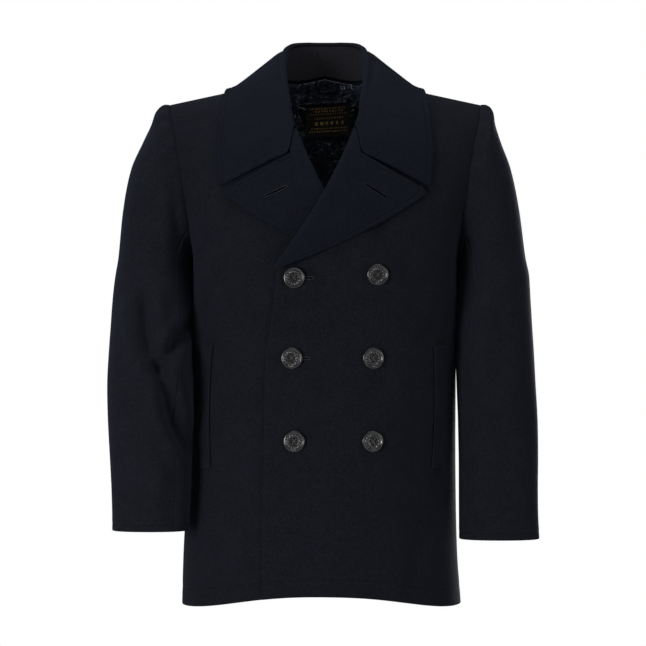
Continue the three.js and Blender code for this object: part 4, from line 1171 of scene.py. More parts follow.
FRONT_SEAM_TURN = turn_of_level(0.12)
BACK_SEAM_TURN = 1 - turn_of_level(0.25)
print("sleeve rings:", len(ring_table(1)) + 1, "under sleeve from", round(FRONT_SEAM_TURN, 3))

# %% [markdown]
# The right sleeve of the coat is bent and folds at the elbow: one long trough down from the upper
# arm, a second one from the body side, and both meet in a fold that runs to the cuff. The left one
# hangs straighter. A crease here is a line on the front of the sleeve, pressed in along it and
# raised beside it, so that the ridge catches the light as in the photograph.

# %% Creases of the sleeves
# Each crease is a line in the front view: from x and z, to x and z, depth, width
SLEEVE_CREASES = {
    -1: [
        (267, -318, 240, -434, 13.5, 11.5),
        (239, -430, 190, -552, 12.0, 11),
        (192, -348, 238, -434, 10.5, 9.5),
        (250, -452, 262, -560, -3.0, 22),
        (286, -150, 276, -330, -1.5, 24),
        (222, -560, 214, -660, 2.5, 13),
        (292, -430, 286, -640, 2.0, 22),
        (214, -150, 206, -300, 3.5, 11),
    ],
    1: [
        (214, -226, 205, -345, 5.0, 13),
        (262, -330, 246, -460, 3.5, 18),
        (240, -470, 262, -640, 2.2, 18),
        (292, -300, 298, -520, 1.6, 22),
        (226, -350, 222, -520, -2.2, 16),
    ],
}
BACK_ARM_CREASES = [
    (222, -380, 286, -410, 3.6, 13),
    (210, -430, 290, -446, 4.0, 14),
    (226, -300, 262, -350, 2.4, 15),
    (240, -480, 280, -640, 2.2, 20),
    (214, -200, 236, -300, 2.6, 14),
]
ARM_RIDGE = 0.5  # height of the ridges beside a crease, as a share of its depth
MOST_LEAN = 3.0
HANGS_FREE = {1: -452.0, -1: -700.0}  # the height below which a sleeve no longer touches the body
PUCKERS = 21  # round the armhole
SEAM_CLOSER = 0.08  # how far the ends of a sleeve piece are drawn in, so that its seams stay apart


def sleeve_press(side, turn, x, z):
    """Depth of the creases at a place of a sleeve. Those of the front fade towards the sides of
    the arm and those of the back likewise."""
    front = np.sin(turn * 2 * np.pi)
    made = troughs(SLEEVE_CREASES[side], x, z, ARM_RIDGE) * np.sqrt(np.maximum(front, 0))
    return made + troughs(BACK_ARM_CREASES, x, z, ARM_RIDGE) * np.sqrt(np.maximum(-front, 0))


def sleeve_lean(side, turn, x, z):
    """Where a sleeve lies against the body it is let out to it, by its distance from the body's
    side, as a bell round the innermost turn. The left one hangs free further down."""
    row = along(BODY_COLUMNS, BODY_ROWS, "height", z)
    beside = row["half"] + side * row["lean"] + 0.4 - 2.0 * smooth((-300 - z) / 60)
    leaning = np.clip(x - beside, 0, MOST_LEAN) * np.exp(-(((turn - 0.5) / 0.06) ** 2))
    return leaning * smooth((-262 - z) / 9) * smooth((z - HANGS_FREE[side]) / 50)


def sleeve_grids(side, first, last, columns, count=170):
    """Outer and inner face of one piece of a sleeve, between two turns round the arm."""
    edge = (last - first) / columns
    turn = np.linspace(first - edge, last + edge, columns + 3)
    rings = ring_table(side)
    free = smooth(np.arange(1, len(rings) + 1) / 5)[:, None, None]
    shift = (armhole_point(turn, 0) - ring_point(START_RING, turn))[None]
    rise = (1 + np.cos(turn * 2 * np.pi)) / 2
    under = (1 - smooth(rise / 0.22))[:, None]
    apart = np.concatenate([0 * under + SEAM_GAP + 0.2, 0 * under, 0.6 * under], -1)
    start = armhole_point(turn, 0) + apart
    rows = np.concatenate([start[None], ring_point(rings[:, None], turn[None]) + shift * (1 - free)])
    outer, at = spline_rows(rows, count)
    fade = smooth((at - at[0] - 6) / 40)[:, None]
    normals = grid_normals(outer)
    out_x, out_z, in_x, in_z, _, middle = np.moveaxis(rings, -1, 0)
    centre = np.stack([(out_x + in_x) / 2, middle, (out_z + in_z) / 2], -1)
    centre = np.concatenate([centre[:1], centre])[:, None] + 0 * rows
    centre, _ = spline_rows(centre, count)
    inward = np.where(np.sum(normals * (centre - outer), -1, keepdims=True) > 0, 1.0, -1.0)
    pressed = sleeve_press(side, turn[None], outer[..., 0], outer[..., 2]) * fade
    pressed = pressed - sleeve_lean(side, turn[None], outer[..., 0], outer[..., 2])
    near_seam = np.exp(-(((at - at[0] - 9)[:, None] / 9) ** 2))
    pucker = 0.8 * np.sin(turn * 2 * np.pi * PUCKERS)[None] * near_seam
    outer = outer + normals * inward * (pressed + pucker * (rise > 0.45))[..., None]
    normals = grid_normals(outer)
    inward = np.where(np.sum(normals * (centre - outer), -1, keepdims=True) > 0, 1.0, -1.0)
    into_armhole = armhole_point(turn, -1) - armhole_point(turn, 0)
    turned = unit(lerp(into_armhole, np.array([-0.25, 0, 1.0]), under))
    share = smooth((at - at[0]) / 7)[:, None, None]
    inner = outer + unit(lerp(turned[None], normals * inward, share)) * CLOTH
    outer, inner = outer[:, 1:-1], inner[:, 1:-1]
    for face in (outer, inner):
        for end, beside in ((0, 1), (-1, -2)):
            face[:, end] += unit(face[:, beside] - face[:, end]) * SEAM_CLOSER
        face[..., 0] *= side
    return outer[::-1], inner[::-1]


ROLLED_OVER = 0.6  # how round a sleeve's top edge is, where it is rolled over the armhole
for side, word in SIDES:
    for part, first, last, columns in (
        ("top", BACK_SEAM_TURN - 1, FRONT_SEAM_TURN, 106),
        ("under", FRONT_SEAM_TURN, BACK_SEAM_TURN, 48),
    ):
        outer, inner = sleeve_grids(side, first, last, columns)
        lines = hem_lines(outer, CUFF_STITCH)
        outer = groove(outer, inner, lines[..., 1], depth=0.4, width=3.0)
        soft = (1, SEWN, ROLLED_OVER, SEWN)
        piece = shell(f"sleeve_{word}_{part}_cloth", outer, inner, lines, soft=soft)
        wear(piece, [f"sleeve_{word}_{part}"], SLEEVE_CLOTH_PAINTED_LIGHT, outer)

# %% [markdown]
# Inside, each long seam is taped: a strip of the same cloth, shaved thin, covers the join from
# behind, so that no light comes through between two panels. It lies 0.1 mm off their inner faces.


# %% Tapes behind the seams
TAPE_OFF, TAPE_THICKNESS = 0.12, 0.38
TAPE_ACROSS = np.linspace(-11, 11, 9)  # places across a tape, in millimetres from its seam
SLEEVE_TAPE_TURN = 0.02  # how far a sleeve's tape reaches past its seam, as a share of the turn


def tape(name, make):
    """make(out) gives the strip's grid at some height off the cloth's outer face."""
    face, away = make(-CLOTH - TAPE_OFF), make(-CLOTH - TAPE_OFF - TAPE_THICKNESS)
    wear(shell(name, face, away, rim_steps=1), [], BODY_CLOTH, face)


def centre_back_tape(out):
    z, x = grid_of(np.linspace(-771, 5, 150), TAPE_ACROSS)
    return on_body_at(-1, np.abs(x), z, out, np.where(x < 0, -1.0, 1.0))


def side_tape(side):
    """A strip over the side seam: steps back and forth from it, as depths on the two faces."""

    def make(out):
        v, y = grid_of(np.linspace(-0.999, -0.004, 120), TAPE_ACROSS)
        row = along(BODY_COLUMNS, BODY_ROWS, "height", lerp(CHEST_Z, HEM_SIDE_Z, -v))
        depth = np.where(y > 0, row["back"], row["front"])
        angle = np.arcsin((np.abs(y) / depth) ** (power_at(v) / 2))
        faces = [on_body(face, angle, v, out + 0.0 * v, side) for face in (1, -1)]
        return np.where((y > 0)[..., None], faces[1], faces[0])

    return make


def sleeve_tape(side, turn):
    """A narrow copy of the sleeve itself over a seam, which ends short of the armhole."""

    def make(out):
        outer, inner = sleeve_grids(side, turn - SLEEVE_TAPE_TURN, turn + SLEEVE_TAPE_TURN, 6)
        return (outer + (inner - outer) * (-out / CLOTH))[:-8]

    return make


tape("tape_centre_back", centre_back_tape)
for side, word in SIDES:
    tape(f"tape_side_{word}", side_tape(side))
    tape(f"tape_sleeve_{word}_front", sleeve_tape(side, FRONT_SEAM_TURN))
    tape(f"tape_sleeve_{word}_back", sleeve_tape(side, BACK_SEAM_TURN))

# %% [markdown]
# A lapel is the front's own facing, turned back along the roll line. It is cut from a patch between
# four curves: the roll line, the top edge with its notch, the outer edge, and the foot at the break.
# The cloth is double there, with canvas between, so it keeps a firm, rounded edge, topstitched all
# round. The fold wraps the raw edge of the front panel.

# %% Lapels
LAPEL_START = 0.02
NOTCH_X, NOTCH_Z = 50.5, -117.0
NOTCH_GAP = 2.4
GORGE_LENGTH = math.hypot(NOTCH_X - GORGE_X, NOTCH_Z - GORGE_Z)
DOUBLE_RIM = 5  # steps round the thick edge of a lapel or collar
NOTCH_SHARE = 0.25
UNSTITCHED = 60.0  # added to the distances where an edge is sewn in and has no topstitching


def lapel_place(down, out):
    """A Coons patch in the front view: both pairs of sides blended, less the corners."""

    def roll(t):
        share = lerp(LAPEL_START, 1, t)
        bow = ROLL_BOW * np.sin(np.pi * share)
        return np.stack([lerp(GORGE_X, -BREAK_X, share) + bow, lerp(GORGE_Z, BREAK_Z, share)], -1)

    def edge(t):
        made = along(LAPEL_EDGE_COLUMNS, LAPEL_EDGE, "share", t)
        return np.stack([made["x"], made["z"]], -1)

    zero, one = np.zeros_like(out), np.ones_like(out)
    notch = np.array([NOTCH_X, NOTCH_Z])
    a, b = out[..., None], down[..., None]
    to_notch = lerp(roll(zero), notch, a / NOTCH_SHARE)
    from_notch = lerp(notch, edge(zero), (a - NOTCH_SHARE) / (1 - NOTCH_SHARE))
    top = np.where(a < NOTCH_SHARE, to_notch, from_notch)
    foot = lerp(roll(one), edge(one), a)
    corners = lerp(lerp(roll(zero), edge(zero), a), lerp(roll(one), edge(one), a), b)
    return lerp(roll(down), edge(down), a) + lerp(top, foot, b) - corners


def lapel_lift(side, down, out, place):
    """Room under a lapel: a soft roll near the fold, and on the left over the button there."""
    x, z = place[..., 0], place[..., 1]
    roll = np.maximum(0, np.sin(np.pi * np.clip(out * 1.15, 0, 1) ** 0.6))
    covered = right_lapel_cover(-x, z) if side < 0 else 0.0
    near = np.hypot(x + 44, z + 287)
    over_button = 6 * smooth((62 - near) / 40) if side > 0 else 0.0
    return LAY_GAP + 2.4 * roll * (1 - 0.5 * down) * (1 - covered) + over_button


def lapel_surface(side, down, out, layer):
    place = lapel_place(down, out)
    lift = lapel_lift(side, down, out, place) + layer * DOUBLE
    x, z = place[..., 0], place[..., 1]
    return on_body_at(1, x, z, front_out(side, x, z, FOLD_ROOM) + lift, side)


# Steps round the fold, for the outer and then the inner face: past the roll line, and rise
FOLD_STEPS = [(2.4, -2.4, 0.35, -2.4), (3.1, 0.2, 0.4, -0.9), (2.2, 2.9, 0.35, 0.4)]
FOLD_ROOM = 16.0  # how much wider the rise of the front is under the fold
FIRST_OUT = 0.04  # share of the lapel's width that the fold takes up


def lapel_grids(side, rows=106, columns=74):
    """Outer and inner face: three steps round the fold, then the flat of the lapel, with finer
    rows and columns towards its edges."""
    fine = 0.62
    down = (1 - fine) * steps(rows) + fine * (1 - np.cos(steps(rows) * np.pi / 2))
    out = (1 - fine) * steps(columns) + fine * np.sin(steps(columns) * np.pi / 2)
    b, a = grid_of(down, lerp(FIRST_OUT, 1.0, out))
    length = math.hypot(GORGE_X + BREAK_X, GORGE_Z - BREAK_Z)
    normal = np.array([-(GORGE_Z - BREAK_Z), GORGE_X + BREAK_X]) / length
    fold_place = lapel_place(down, 0 * down)
    lift = lapel_lift(side, down, 0 * down + FIRST_OUT, fold_place) - SEAM_GAP
    faces = []
    for layer in (1, 0):
        flat = lapel_surface(side, b, a, layer)
        fold = []
        for past, rise, inner_past, inner_rise in FOLD_STEPS:
            place = fold_place + normal * (past if layer else inner_past)
            height = (rise if layer else inner_rise) + (lift if rise > 0 else 0)
            under = front_out(side, *fold_place.T, FOLD_ROOM if rise > 0 else 0)
            fold.append(on_body_at(1, place[:, 0], place[:, 1], under + height, side))
        fold, _ = spline_rows(np.stack(fold + [flat[:, 0], flat[:, 1]]), 16)
        faces.append(np.concatenate([np.swapaxes(fold, 0, 1)[:, :-2], flat[:, 1:]], axis=1))
    from_edge = lengths_from(faces[0], 1, back=True)
    inside_notch = smooth((NOTCH_SHARE + 0.02 - np.linspace(0, 1, faces[0].shape[1])) * 30)
    from_top = lengths_from(faces[0], 0) + UNSTITCHED * inside_notch
    return faces[0], faces[1], edge_lines(np.minimum(from_edge, from_top))


for side, word in SIDES:
    outer, inner, lines = lapel_grids(side)
    outer = groove(outer, inner, lines[..., 0])
    sewn = lengths_from(outer, 1)[0, :-1] < GORGE_LENGTH
    soft = (np.where(sewn, GORGE_SEWN, 1), 1, 1, 1)
    piece = shell(f"lapel_{word}_cloth", outer, inner, lines, DOUBLE_RIM, soft=soft)
    wear(piece, [f"lapel_{word}"], COLLAR_CLOTH_PAINTED_SHADE, outer)

# %% [markdown]
# The collar is a stand, which rises inside round the neck, and a wide leaf that folds over it and
# lies down on the shoulders. Both are carried along the neck from the middle of the back to the
# front edges: at each station the table says where the fold and the outer edge are, and the cloth
# between is a short arc over the fold and a long, slightly hollow fall.

# %% Collar
COLLAR_COLUMNS = ["station", "roll_x", "roll_y", "roll_z", "edge_x", "edge_drop"]
COLLAR_STATIONS = [
    (0, 0, 69, 60, 0, 91.7),
    (0.06, 12.2, 68.6, 60, 26, 79.6),
    (0.12, 24, 67, 60, 52, 61),
    (0.24, 43, 56, 57.5, 95, 33),
    (0.36, 54, 38, 50, 126, 11),
    (0.46, 58, 16, 38, 140, 0.6),
    (0.56, 59, -15, 19, 147, 6),
    (0.67, 56.5, -47, -6, 151, 28),
    (0.8, 52, -76, -36, 154, 68.6),
    (0.9, 49.5, -93, -59, 154, 103.6),
    (1, 43.5, -103, -74.5, 150, 143.5),
]
FOLD_RADIUS = DOUBLE / 2 + 0.8
NECK_STATION = 0.46  # where the shoulder seam meets the neck


def plain_place(face, x, z, out):
    """A point over the plain form, where the cloth below has no folds yet."""
    angle, v = form_place(face, x, z)
    return form_point(face, angle, v) + form_normal(face, angle, v) * np.asarray(out)[..., None]


def clear_of_body(points, height):
    """Points nearer to the body than some height are moved out along its normal."""
    x, z = points[..., 0], np.minimum(points[..., 2], shoulder_height(points[..., 0]) - 0.05)
    moved = []
    for face in (1, -1):
        angle, v = form_place(face, x, z)
        normal = form_normal(face, angle, v)
        surface = form_point(face, angle, v) + normal * height[..., None]
        gap = np.sum((points - surface) * normal, -1, keepdims=True)
        moved.append(points + normal * np.maximum(-gap, 0))
    return np.where(points[..., 1:2] <= 0, moved[0], moved[1])


def leaf_middle(station, fold_turns, leaf_steps):
    """The middle of the leaf's cloth: round the fold from inside, then down to the edge."""
    row = along(COLLAR_COLUMNS, COLLAR_STATIONS, "station", station)
    roll = np.stack([row["roll_x"], row["roll_y"], row["roll_z"]], -1)
    edge_z = shoulder_height(row["edge_x"]) - np.maximum(row["edge_drop"], 0.2)
    none = np.zeros_like(station)
    edge = np.where(
        (station <= 0.51)[:, None],
        plain_place(-1, row["edge_x"], edge_z, none),
        plain_place(1, row["edge_x"], edge_z, none),
    )
    outward = unit((edge - roll) * [1, 1, 0])
    up = np.array([0.0, 0.0, 1.0])
    turn = fold_turns[None, :, None] * np.pi
    fold = roll[:, None] + outward[:, None] * FOLD_RADIUS * (1 - np.cos(turn))
    fold = fold + up * FOLD_RADIUS * (np.sin(turn) - 1)
    start = roll + outward * 2 * FOLD_RADIUS - up * FOLD_RADIUS * 1.6
    t = leaf_steps[None, :, None]
    laid = smooth((station - 0.62) / 0.3)[:, None, None]
    points = lerp(start[:, None], edge[:, None], t)
    points = points + unit(outward + up)[:, None] * 5 * np.sin(np.pi * t**0.55) * (1 - laid)
    bend = np.array([NOTCH_X, 0, NOTCH_Z + NOTCH_GAP])
    to_bend, from_bend = lerp(roll[:, None], bend, t / 0.2), lerp(bend, edge[:, None], (t - 0.2) / 0.8)
    straight = np.where(t < 0.2, to_bend, from_bend)
    near = smooth((station - 0.84) / 0.16)[:, None]
    x, z = lerp(points[..., 0], straight[..., 0], near), lerp(points[..., 2], straight[..., 2], near)
    height = DOUBLE / 2 + LAY_GAP + 3 * np.sin(np.pi * (0.15 + 0.85 * leaf_steps)) + 0 * x
    points = np.where(laid > 0, lerp(points, plain_place(1, x, z, height), laid), points)
    room = DOUBLE / 2 + LAY_GAP + 1.6 * np.exp(-((points[..., 1] / 22) ** 2))
    return np.concatenate([fold, clear_of_body(points, room)], axis=1)


def stand_middle(station, up_steps):
    """The middle of the stand's cloth, straight from the neck seam up to the fold."""
    row = along(COLLAR_COLUMNS, COLLAR_STATIONS, "station", station)
    roll = np.stack([row["roll_x"], row["roll_y"], row["roll_z"]], -1)
    across = NECK_SHARE * np.sin(np.minimum(station / NECK_STATION, 1) * np.pi / 2)
    level = np.ones_like(station)
    back = form_point(-1, lerp(np.pi / 2, armhole_angle(-1, level), across), level)
    t = np.clip((station - NECK_STATION) / (1 - NECK_STATION), 0, 1)
    z = lerp(shoulder_height(NECK_HALF) - 0.1, GORGE_Z, t**1.5)
    seam = np.where((station <= NECK_STATION)[:, None], back, plain_place(1, inner_reach(z), z, 0 * z))
    inward = unit(seam * [-1, -1, 0])
    seam = seam + inward * (SEAM_GAP + CLOTH * 0.7) + [0, 0, 1]
    top = roll - [0, 0, FOLD_RADIUS + 0.7]
    return lerp(seam[:, None], top[:, None], up_steps[None, :, None])


def both_sides(half):
    """A half from the middle of the back to the front, and its mirror image before it."""
    return np.concatenate([(half[1:] * [-1, 1, 1])[::-1], half])


HALF_STATIONS = 96
stations = 1 - (1 - steps(HALF_STATIONS)) ** 0.92
fold_turns = np.array([0, 0.1, 0.35, 0.65])
leaf_steps = np.array([0, 0.1, 0.22, 0.36, 0.52, 0.68, 0.84, 1])
middle = both_sides(leaf_middle(stations, fold_turns, leaf_steps))
middle = np.swapaxes(spline_rows(np.swapaxes(middle, 0, 1), 112)[0], 0, 1)
across = lengths_from(middle, 1)
sewn = across < GORGE_LENGTH + 8
normals = grid_normals(middle)
outer, inner = middle + normals * DOUBLE / 2, middle - normals * DOUBLE / 2
at_back = normals[HALF_STATIONS, -20]
if np.sum(at_back * [0, 1, 1]) < 0:
    outer, inner = inner, outer
ends = np.minimum(lengths_from(outer, 0), lengths_from(outer, 0, back=True))
ends = ends + UNSTITCHED * smooth((50 - across) / 6)
lines = edge_lines(np.minimum(lengths_from(outer, 1, back=True), ends))
outer = groove(outer, inner, lines[..., 0])
first, last = np.where(sewn[0, :-1], GORGE_SEWN, 1), np.where(sewn[-1, :0:-1], GORGE_SEWN, 1)
piece = shell("collar_leaf_cloth", outer, inner, lines, DOUBLE_RIM, soft=(first, 1, last, 1))
wear(piece, ["collar_leaf"], COLLAR_CLOTH_PAINTED_SHADE, outer)

stations = 0.58 * steps(80)
middle = both_sides(stand_middle(stations, steps(24)))
normals = grid_normals(middle)
outer, inner = middle + normals * CLOTH / 2, middle - normals * CLOTH / 2
wear(shell("collar_stand_cloth", outer, inner), ["collar_stand"], STAND_CLOTH, outer)

# %% [markdown]
# The hand pockets are slits in the fronts, slanting hardly at all. A narrow welt runs beside each,
# turned from the same cloth and pressed, with a bar of close stitches at both ends so that the
# slit can't tear.

# %% Pocket welts and their bar tacks
POCKET_X, POCKET_TOP, POCKET_LENGTH = 166.0, -392.0, 178.0
WELT_WIDTH, WELT_THICKNESS = 15.0, 1.8


def welt_point(side, s, t, lift):
    """s runs down the welt and t across it. Its face is a low pillow with a pressed line in it."""
    x = POCKET_X + WELT_WIDTH * (t - 0.5) + 3 * np.sin(np.pi * s)
    pillow = 0.7 * np.sqrt(np.maximum(np.sin(np.pi * t), 0)) - 0.5 * np.exp(-(((t - 0.82) / 0.06) ** 2))
    return on_body_at(1, x, POCKET_TOP - POCKET_LENGTH * s, lift + pillow * (lift > LAY_GAP), side)


def bar_tack(name, side, place, width, height, lift, count=9):
    """A row of tight stitches: a pillow whose height is ribbed by a sine across its length."""
    v, u = grid_of(np.linspace(-1, 1, 8 * count + 1), np.linspace(-1, 1, 9))
    x, z = place[0] + u * width / 2, place[1] + v * height / 2
    round_off = np.sqrt(np.maximum(1 - np.maximum(np.abs(u), np.abs(v)) ** 6, 0.01))
    rib = 0.75 + 0.25 * np.cos(v * np.pi * count)
    top = on_body_at(1, x, z, front_out(side, x, z) + lift + 0.9 * round_off * rib, side)
    foot = on_body_at(1, x, z, front_out(side, x, z) + lift - 0.3, side)
    piece = shell(name, top, foot, rim_steps=1)
    wear(piece, [], BODY_CLOTH)


for side, word in SIDES:
    s, t = grid_of(steps(90), steps(16))
    outer, inner = welt_point(side, s, t, LAY_GAP + WELT_THICKNESS), welt_point(side, s, t, LAY_GAP)
    piece = shell(f"pocket_welt_{word}_cloth", outer, inner)
    wear(piece, [f"pocket_welt_{word}"], BODY_CLOTH, outer)
    for end, z in (("top", POCKET_TOP + 2), ("foot", POCKET_TOP - POCKET_LENGTH - 2)):
        bar_tack(f"pocket_tack_{word}_{end}", side, (POCKET_X - 1, z), WELT_WIDTH - 2, 4.5, 0.3, 4)
bar_tack("hem_tack", 1, (-75, -727), 9, 5, 0.1, 4)

# %% [markdown]
# A buttonhole is a slit whose two lips are bound with close thread, and its outer end has a round
# eye. The lips are a thin bead carried round a path like a racetrack, and a dark strip lies between
# them, a painted shadow of the slit.
# Each lapel has one, slanting, and each of the two upper rows has one beyond the inner button.


# %% Buttonholes
def painted_slit_shadow_material():
    """A painted shadow: the dark between the lips of a buttonhole, which reflects nothing."""
    material, tree, cloth = new_material("slit_shadow")
    fluff = noise(tree, object_place(tree), 900.0)
    two_tone(tree, cloth, fluff, (0.001, 0.001, 0.002), (0.004, 0.004, 0.006))
    cloth.inputs["Roughness"].default_value = 0.95
    cloth.inputs["Specular IOR Level"].default_value = 0.0
    return material


PAINTED_SLIT_SHADOW = painted_slit_shadow_material()
BOUND_THREAD = thread("buttonhole_thread", (0.006, 0.006, 0.009), (0.040, 0.040, 0.048), 0.7, 0.0)


def racetrack(length, half_width, eye, count=220):
    """A closed path round a slit: two straight lips, a round end and a wider eye at the other."""
    t = np.arange(count) / count * 2 * np.pi
    along_slit = signed_power(np.cos(t), 0.35) * length / 2
    at_eye = smooth((along_slit - length / 2 + 2.4 * eye) / (1.2 * eye))
    return along_slit, signed_power(np.sin(t), 0.6) * lerp(half_width, eye, at_eye)


# The bead of stitches round a buttonhole and its dark strip of painted shadow, as heights above the
# cloth
BEAD_SIDES, BEAD_LIFT, SLIT_LIFT, SLIT_FOOT = 8, 0.25, 0.32, -0.1


def buttonhole(name, surface, length, half_width=1.7, eye=1.7, bead=0.45):
    """surface(u, w, lift) gives points: u mm along the slit, w mm across it, lift mm above."""
    u, w = racetrack(length, half_width, eye)
    k = np.linspace(0, 2 * np.pi, BEAD_SIDES + 1)[:-1]
    next_u, next_w = np.roll(u, -1) - np.roll(u, 1), np.roll(w, -1) - np.roll(w, 1)
    size = np.hypot(next_u, next_w) + 1e-9
    rib = 1 + 0.18 * np.cos(np.arange(len(u)) * np.pi * 0.9)
    ring = bead * rib[:, None] * np.cos(k)
    tall = bead * rib[:, None] * np.sin(k)
    bead_u = u[:, None] + (next_w / size)[:, None] * ring
    bead_w = w[:, None] - (next_u / size)[:, None] * ring
    points = surface(bead_u, bead_w, tall + BEAD_LIFT)
    index = np.arange(points.shape[0] * BEAD_SIDES).reshape(-1, BEAD_SIDES)
    after, beside = np.roll(index, -1, 0), np.roll(index, -1, 1)
    quads = np.stack([index, after, np.roll(after, -1, 1), beside], -1).reshape(-1, 4)
    wear(make_mesh(name, points.reshape(-1, 3), quads), [], BOUND_THREAD)
    s, t = grid_of(np.linspace(-0.49, 0.49, 25), np.linspace(-1, 1, 5))
    strip = surface(s * length, t * half_width * 0.9, 0.0 * s + SLIT_LIFT)
    under = surface(s * length, t * half_width * 0.9, 0.0 * s + SLIT_FOOT)
    # The dark strip between the lips is a painted shadow of the slit
    wear(shell(f"{name}_slit", strip, under, rim_steps=1), [], PAINTED_SLIT_SHADOW)


def on_front_left(centre_x, centre_z):
    """The surface of the left front round a level slit."""

    def surface(u, w, lift):
        x, z = centre_x + u, centre_z + w
        return on_body_at(1, x, z, front_out(1, x, z) + lift, 1)

    return surface


def on_lapel(side, eye_place, far_place):
    """The surface of a lapel round a slit between two places of the front view. The lapel's own
    way across is found from a fine grid of it: the nearest point to each end of the slit."""
    b, a = grid_of(steps(300), lerp(FIRST_OUT, 1, steps(300)))
    grid = lapel_surface(side, b, a, 1)[..., [0, 2]]
    ends = []
    for place in (eye_place, far_place):
        nearest = np.argmin(np.sum((grid - np.array(place)) ** 2, -1))
        ends.append(np.array([b.ravel()[nearest], a.ravel()[nearest]]))
    eye, far = ends
    middle, length = (eye + far) / 2, math.dist(eye_place, far_place)
    along_slit = (eye - far) / length
    step = 0.004
    corner = [np.full(1, middle[0]), np.full(1, middle[1])]
    origin = lapel_surface(side, *corner, 1)[0, [0, 2]]
    by_down = (lapel_surface(side, corner[0] + step, corner[1], 1)[0, [0, 2]] - origin) / step
    by_out = (lapel_surface(side, corner[0], corner[1] + step, 1)[0, [0, 2]] - origin) / step
    way = (np.array(eye_place) - np.array(far_place)) / length
    across = np.linalg.solve(np.stack([by_down, by_out], 1), np.array([-way[1], way[0]]))

    def surface(u, w, lift):
        down = middle[0] + along_slit[0] * u + across[0] * w
        out = middle[1] + along_slit[1] * u + across[1] * w
        return lapel_surface(side, down, out, 1 + lift / DOUBLE)

    return surface, length


buttonhole("buttonhole_top", on_front_left(-23.0, -295.6), 14.0)
buttonhole("buttonhole_middle", on_front_left(-26.0, -410.5), 13.0)
for side, word, eye, far, bead in (
    (-1, "right", (-85.5, -178), (-54.5, -164), 0.25),
    (1, "left", (87.5, -180), (58.5, -161), 0.14),
):
    surface, length = on_lapel(side, eye, far)
    buttonhole(f"buttonhole_lapel_{word}", surface, length, 1.75, 2.2, bead)

# %% [markdown]
# The buttons are moulded from dark plastic, 30 mm across, with a raised rim, a plain ring of short
# dashes, a dished face and four holes in a diamond. A turned profile gives the round form, and the
# dashes and holes are added to its height. Each is sewn on with two crossing bridges of thread.

# %% Buttons
BUTTON_R, HOLE_R, HOLE_AT = 15.0, 1.65, 3.6
BUTTON_SEAT = 0.45  # gap between the cloth and the button's back
DASH_RADIUS, DASH_COUNT, DASH_HEIGHT = 9.3, 14, 0.75
HOLE_DEPTH = 2.4
# The turned back of a button, from its rim to its middle: radius, height
BUTTON_BACK = [(14.9, 2.6), (14.2, 0.9), (9.0, 0.9), (5.4, 0.9), (5.2, 0.5), (5.0, 0.0), (0.02, 0.0)]
THREAD_R, THREAD_APART = 0.2, 0.55
PROFILE_COLUMNS = ["radius", "height"]
BUTTON_FACE = [
    (0, 2.55),
    (4.5, 2.6),
    (6.6, 2.95),
    (7.4, 3.0),
    (10.6, 3.0),
    (11.5, 3.05),
    (12.1, 3.55),
    (12.9, 4.1),
    (13.6, 4.2),
    (14.3, 4.0),
    (14.8, 3.7),
    (15, 3.4),
]
BUTTON_PLACES = [
    ("button_top_inner", -44, -295),
    ("button_top_outer", 74, -291),
    ("button_middle_inner", -47, -410),
    ("button_middle_outer", 68, -410),
    ("button_low_inner", -43.5, -529),
    ("button_low_outer", 67, -529),
]


def button_face_height(r, turn):
    """The turned profile, with a ring of slanting dashes on it and four holes in it."""
    height = along(PROFILE_COLUMNS, BUTTON_FACE, "radius", r)["height"]
    band = np.exp(-(((r - DASH_RADIUS) / 1.35) ** 4))
    dash = smooth(0.5 + 1.6 * np.cos(DASH_COUNT * turn + 0.9 * (r - DASH_RADIUS)))
    height = height + DASH_HEIGHT * band * dash
    x, z = r * np.cos(turn), r * np.sin(turn)
    ways = ((1, 0), (0, 1), (-1, 0), (0, -1))
    away = np.min([np.hypot(x - HOLE_AT * c, z - HOLE_AT * d) for c, d in ways], 0)
    height = height + 0.12 * np.exp(-(((away - 2.2) / 0.4) ** 2))
    return height - HOLE_DEPTH * (1 - smooth((away - HOLE_R + 0.2) / 0.35))


def button_seat(x, z):
    """Where a button stands: the middle of its back, and its three directions."""
    lean = float(along(BODY_COLUMNS, BODY_ROWS, "height", z)["lean"])

    def cloth_at(dx, dz):
        place = np.array([x - lean + dx]), np.array([z + dz])
        return on_body_at(1, *place, front_out(1, *place))[0]

    across, up = cloth_at(4, 0) - cloth_at(-4, 0), cloth_at(0, 4) - cloth_at(0, -4)
    out = unit(np.cross(across, up))
    across = unit(across)
    return cloth_at(0, 0) + out * BUTTON_SEAT, across, np.cross(out, across), out


def button_plastic():
    """Glossy, almost black plastic, a little dusty and worn in uneven patches."""
    material, tree, plastic = new_material("button_plastic")
    cloud = noise(tree, object_place(tree), 260.0, 4.0)
    two_tone(tree, plastic, cloud, (0.006, 0.0063, 0.0075), (0.024, 0.0245, 0.027))
    tree.links.new(maths(tree, "MULTIPLY_ADD", cloud, 0.24, 0.14), plastic.inputs["Roughness"])
    plastic.inputs["IOR"].default_value = 1.52
    plastic.inputs["Coat Weight"].default_value = 0.45
    plastic.inputs["Coat Roughness"].default_value = 0.12
    return material


PLASTIC = button_plastic()


def tube(points, radius, sides=8):
    """A round thread along a path: rings of points square to the path, closed at both ends."""
    way = unit(np.gradient(points, axis=0))
    first = unit(np.cross(way, np.array([0.31, 0.17, 0.94])))
    second = np.cross(way, first)
    k = np.arange(sides) / sides * 2 * np.pi
    ends = np.sqrt(np.clip(1 - np.linspace(-1, 1, len(points)) ** 20, 0.02, 1))
    ring = first[:, None] * np.cos(k)[:, None] + second[:, None] * np.sin(k)[:, None]
    return points[:, None] + ring * radius * ends[:, None, None]


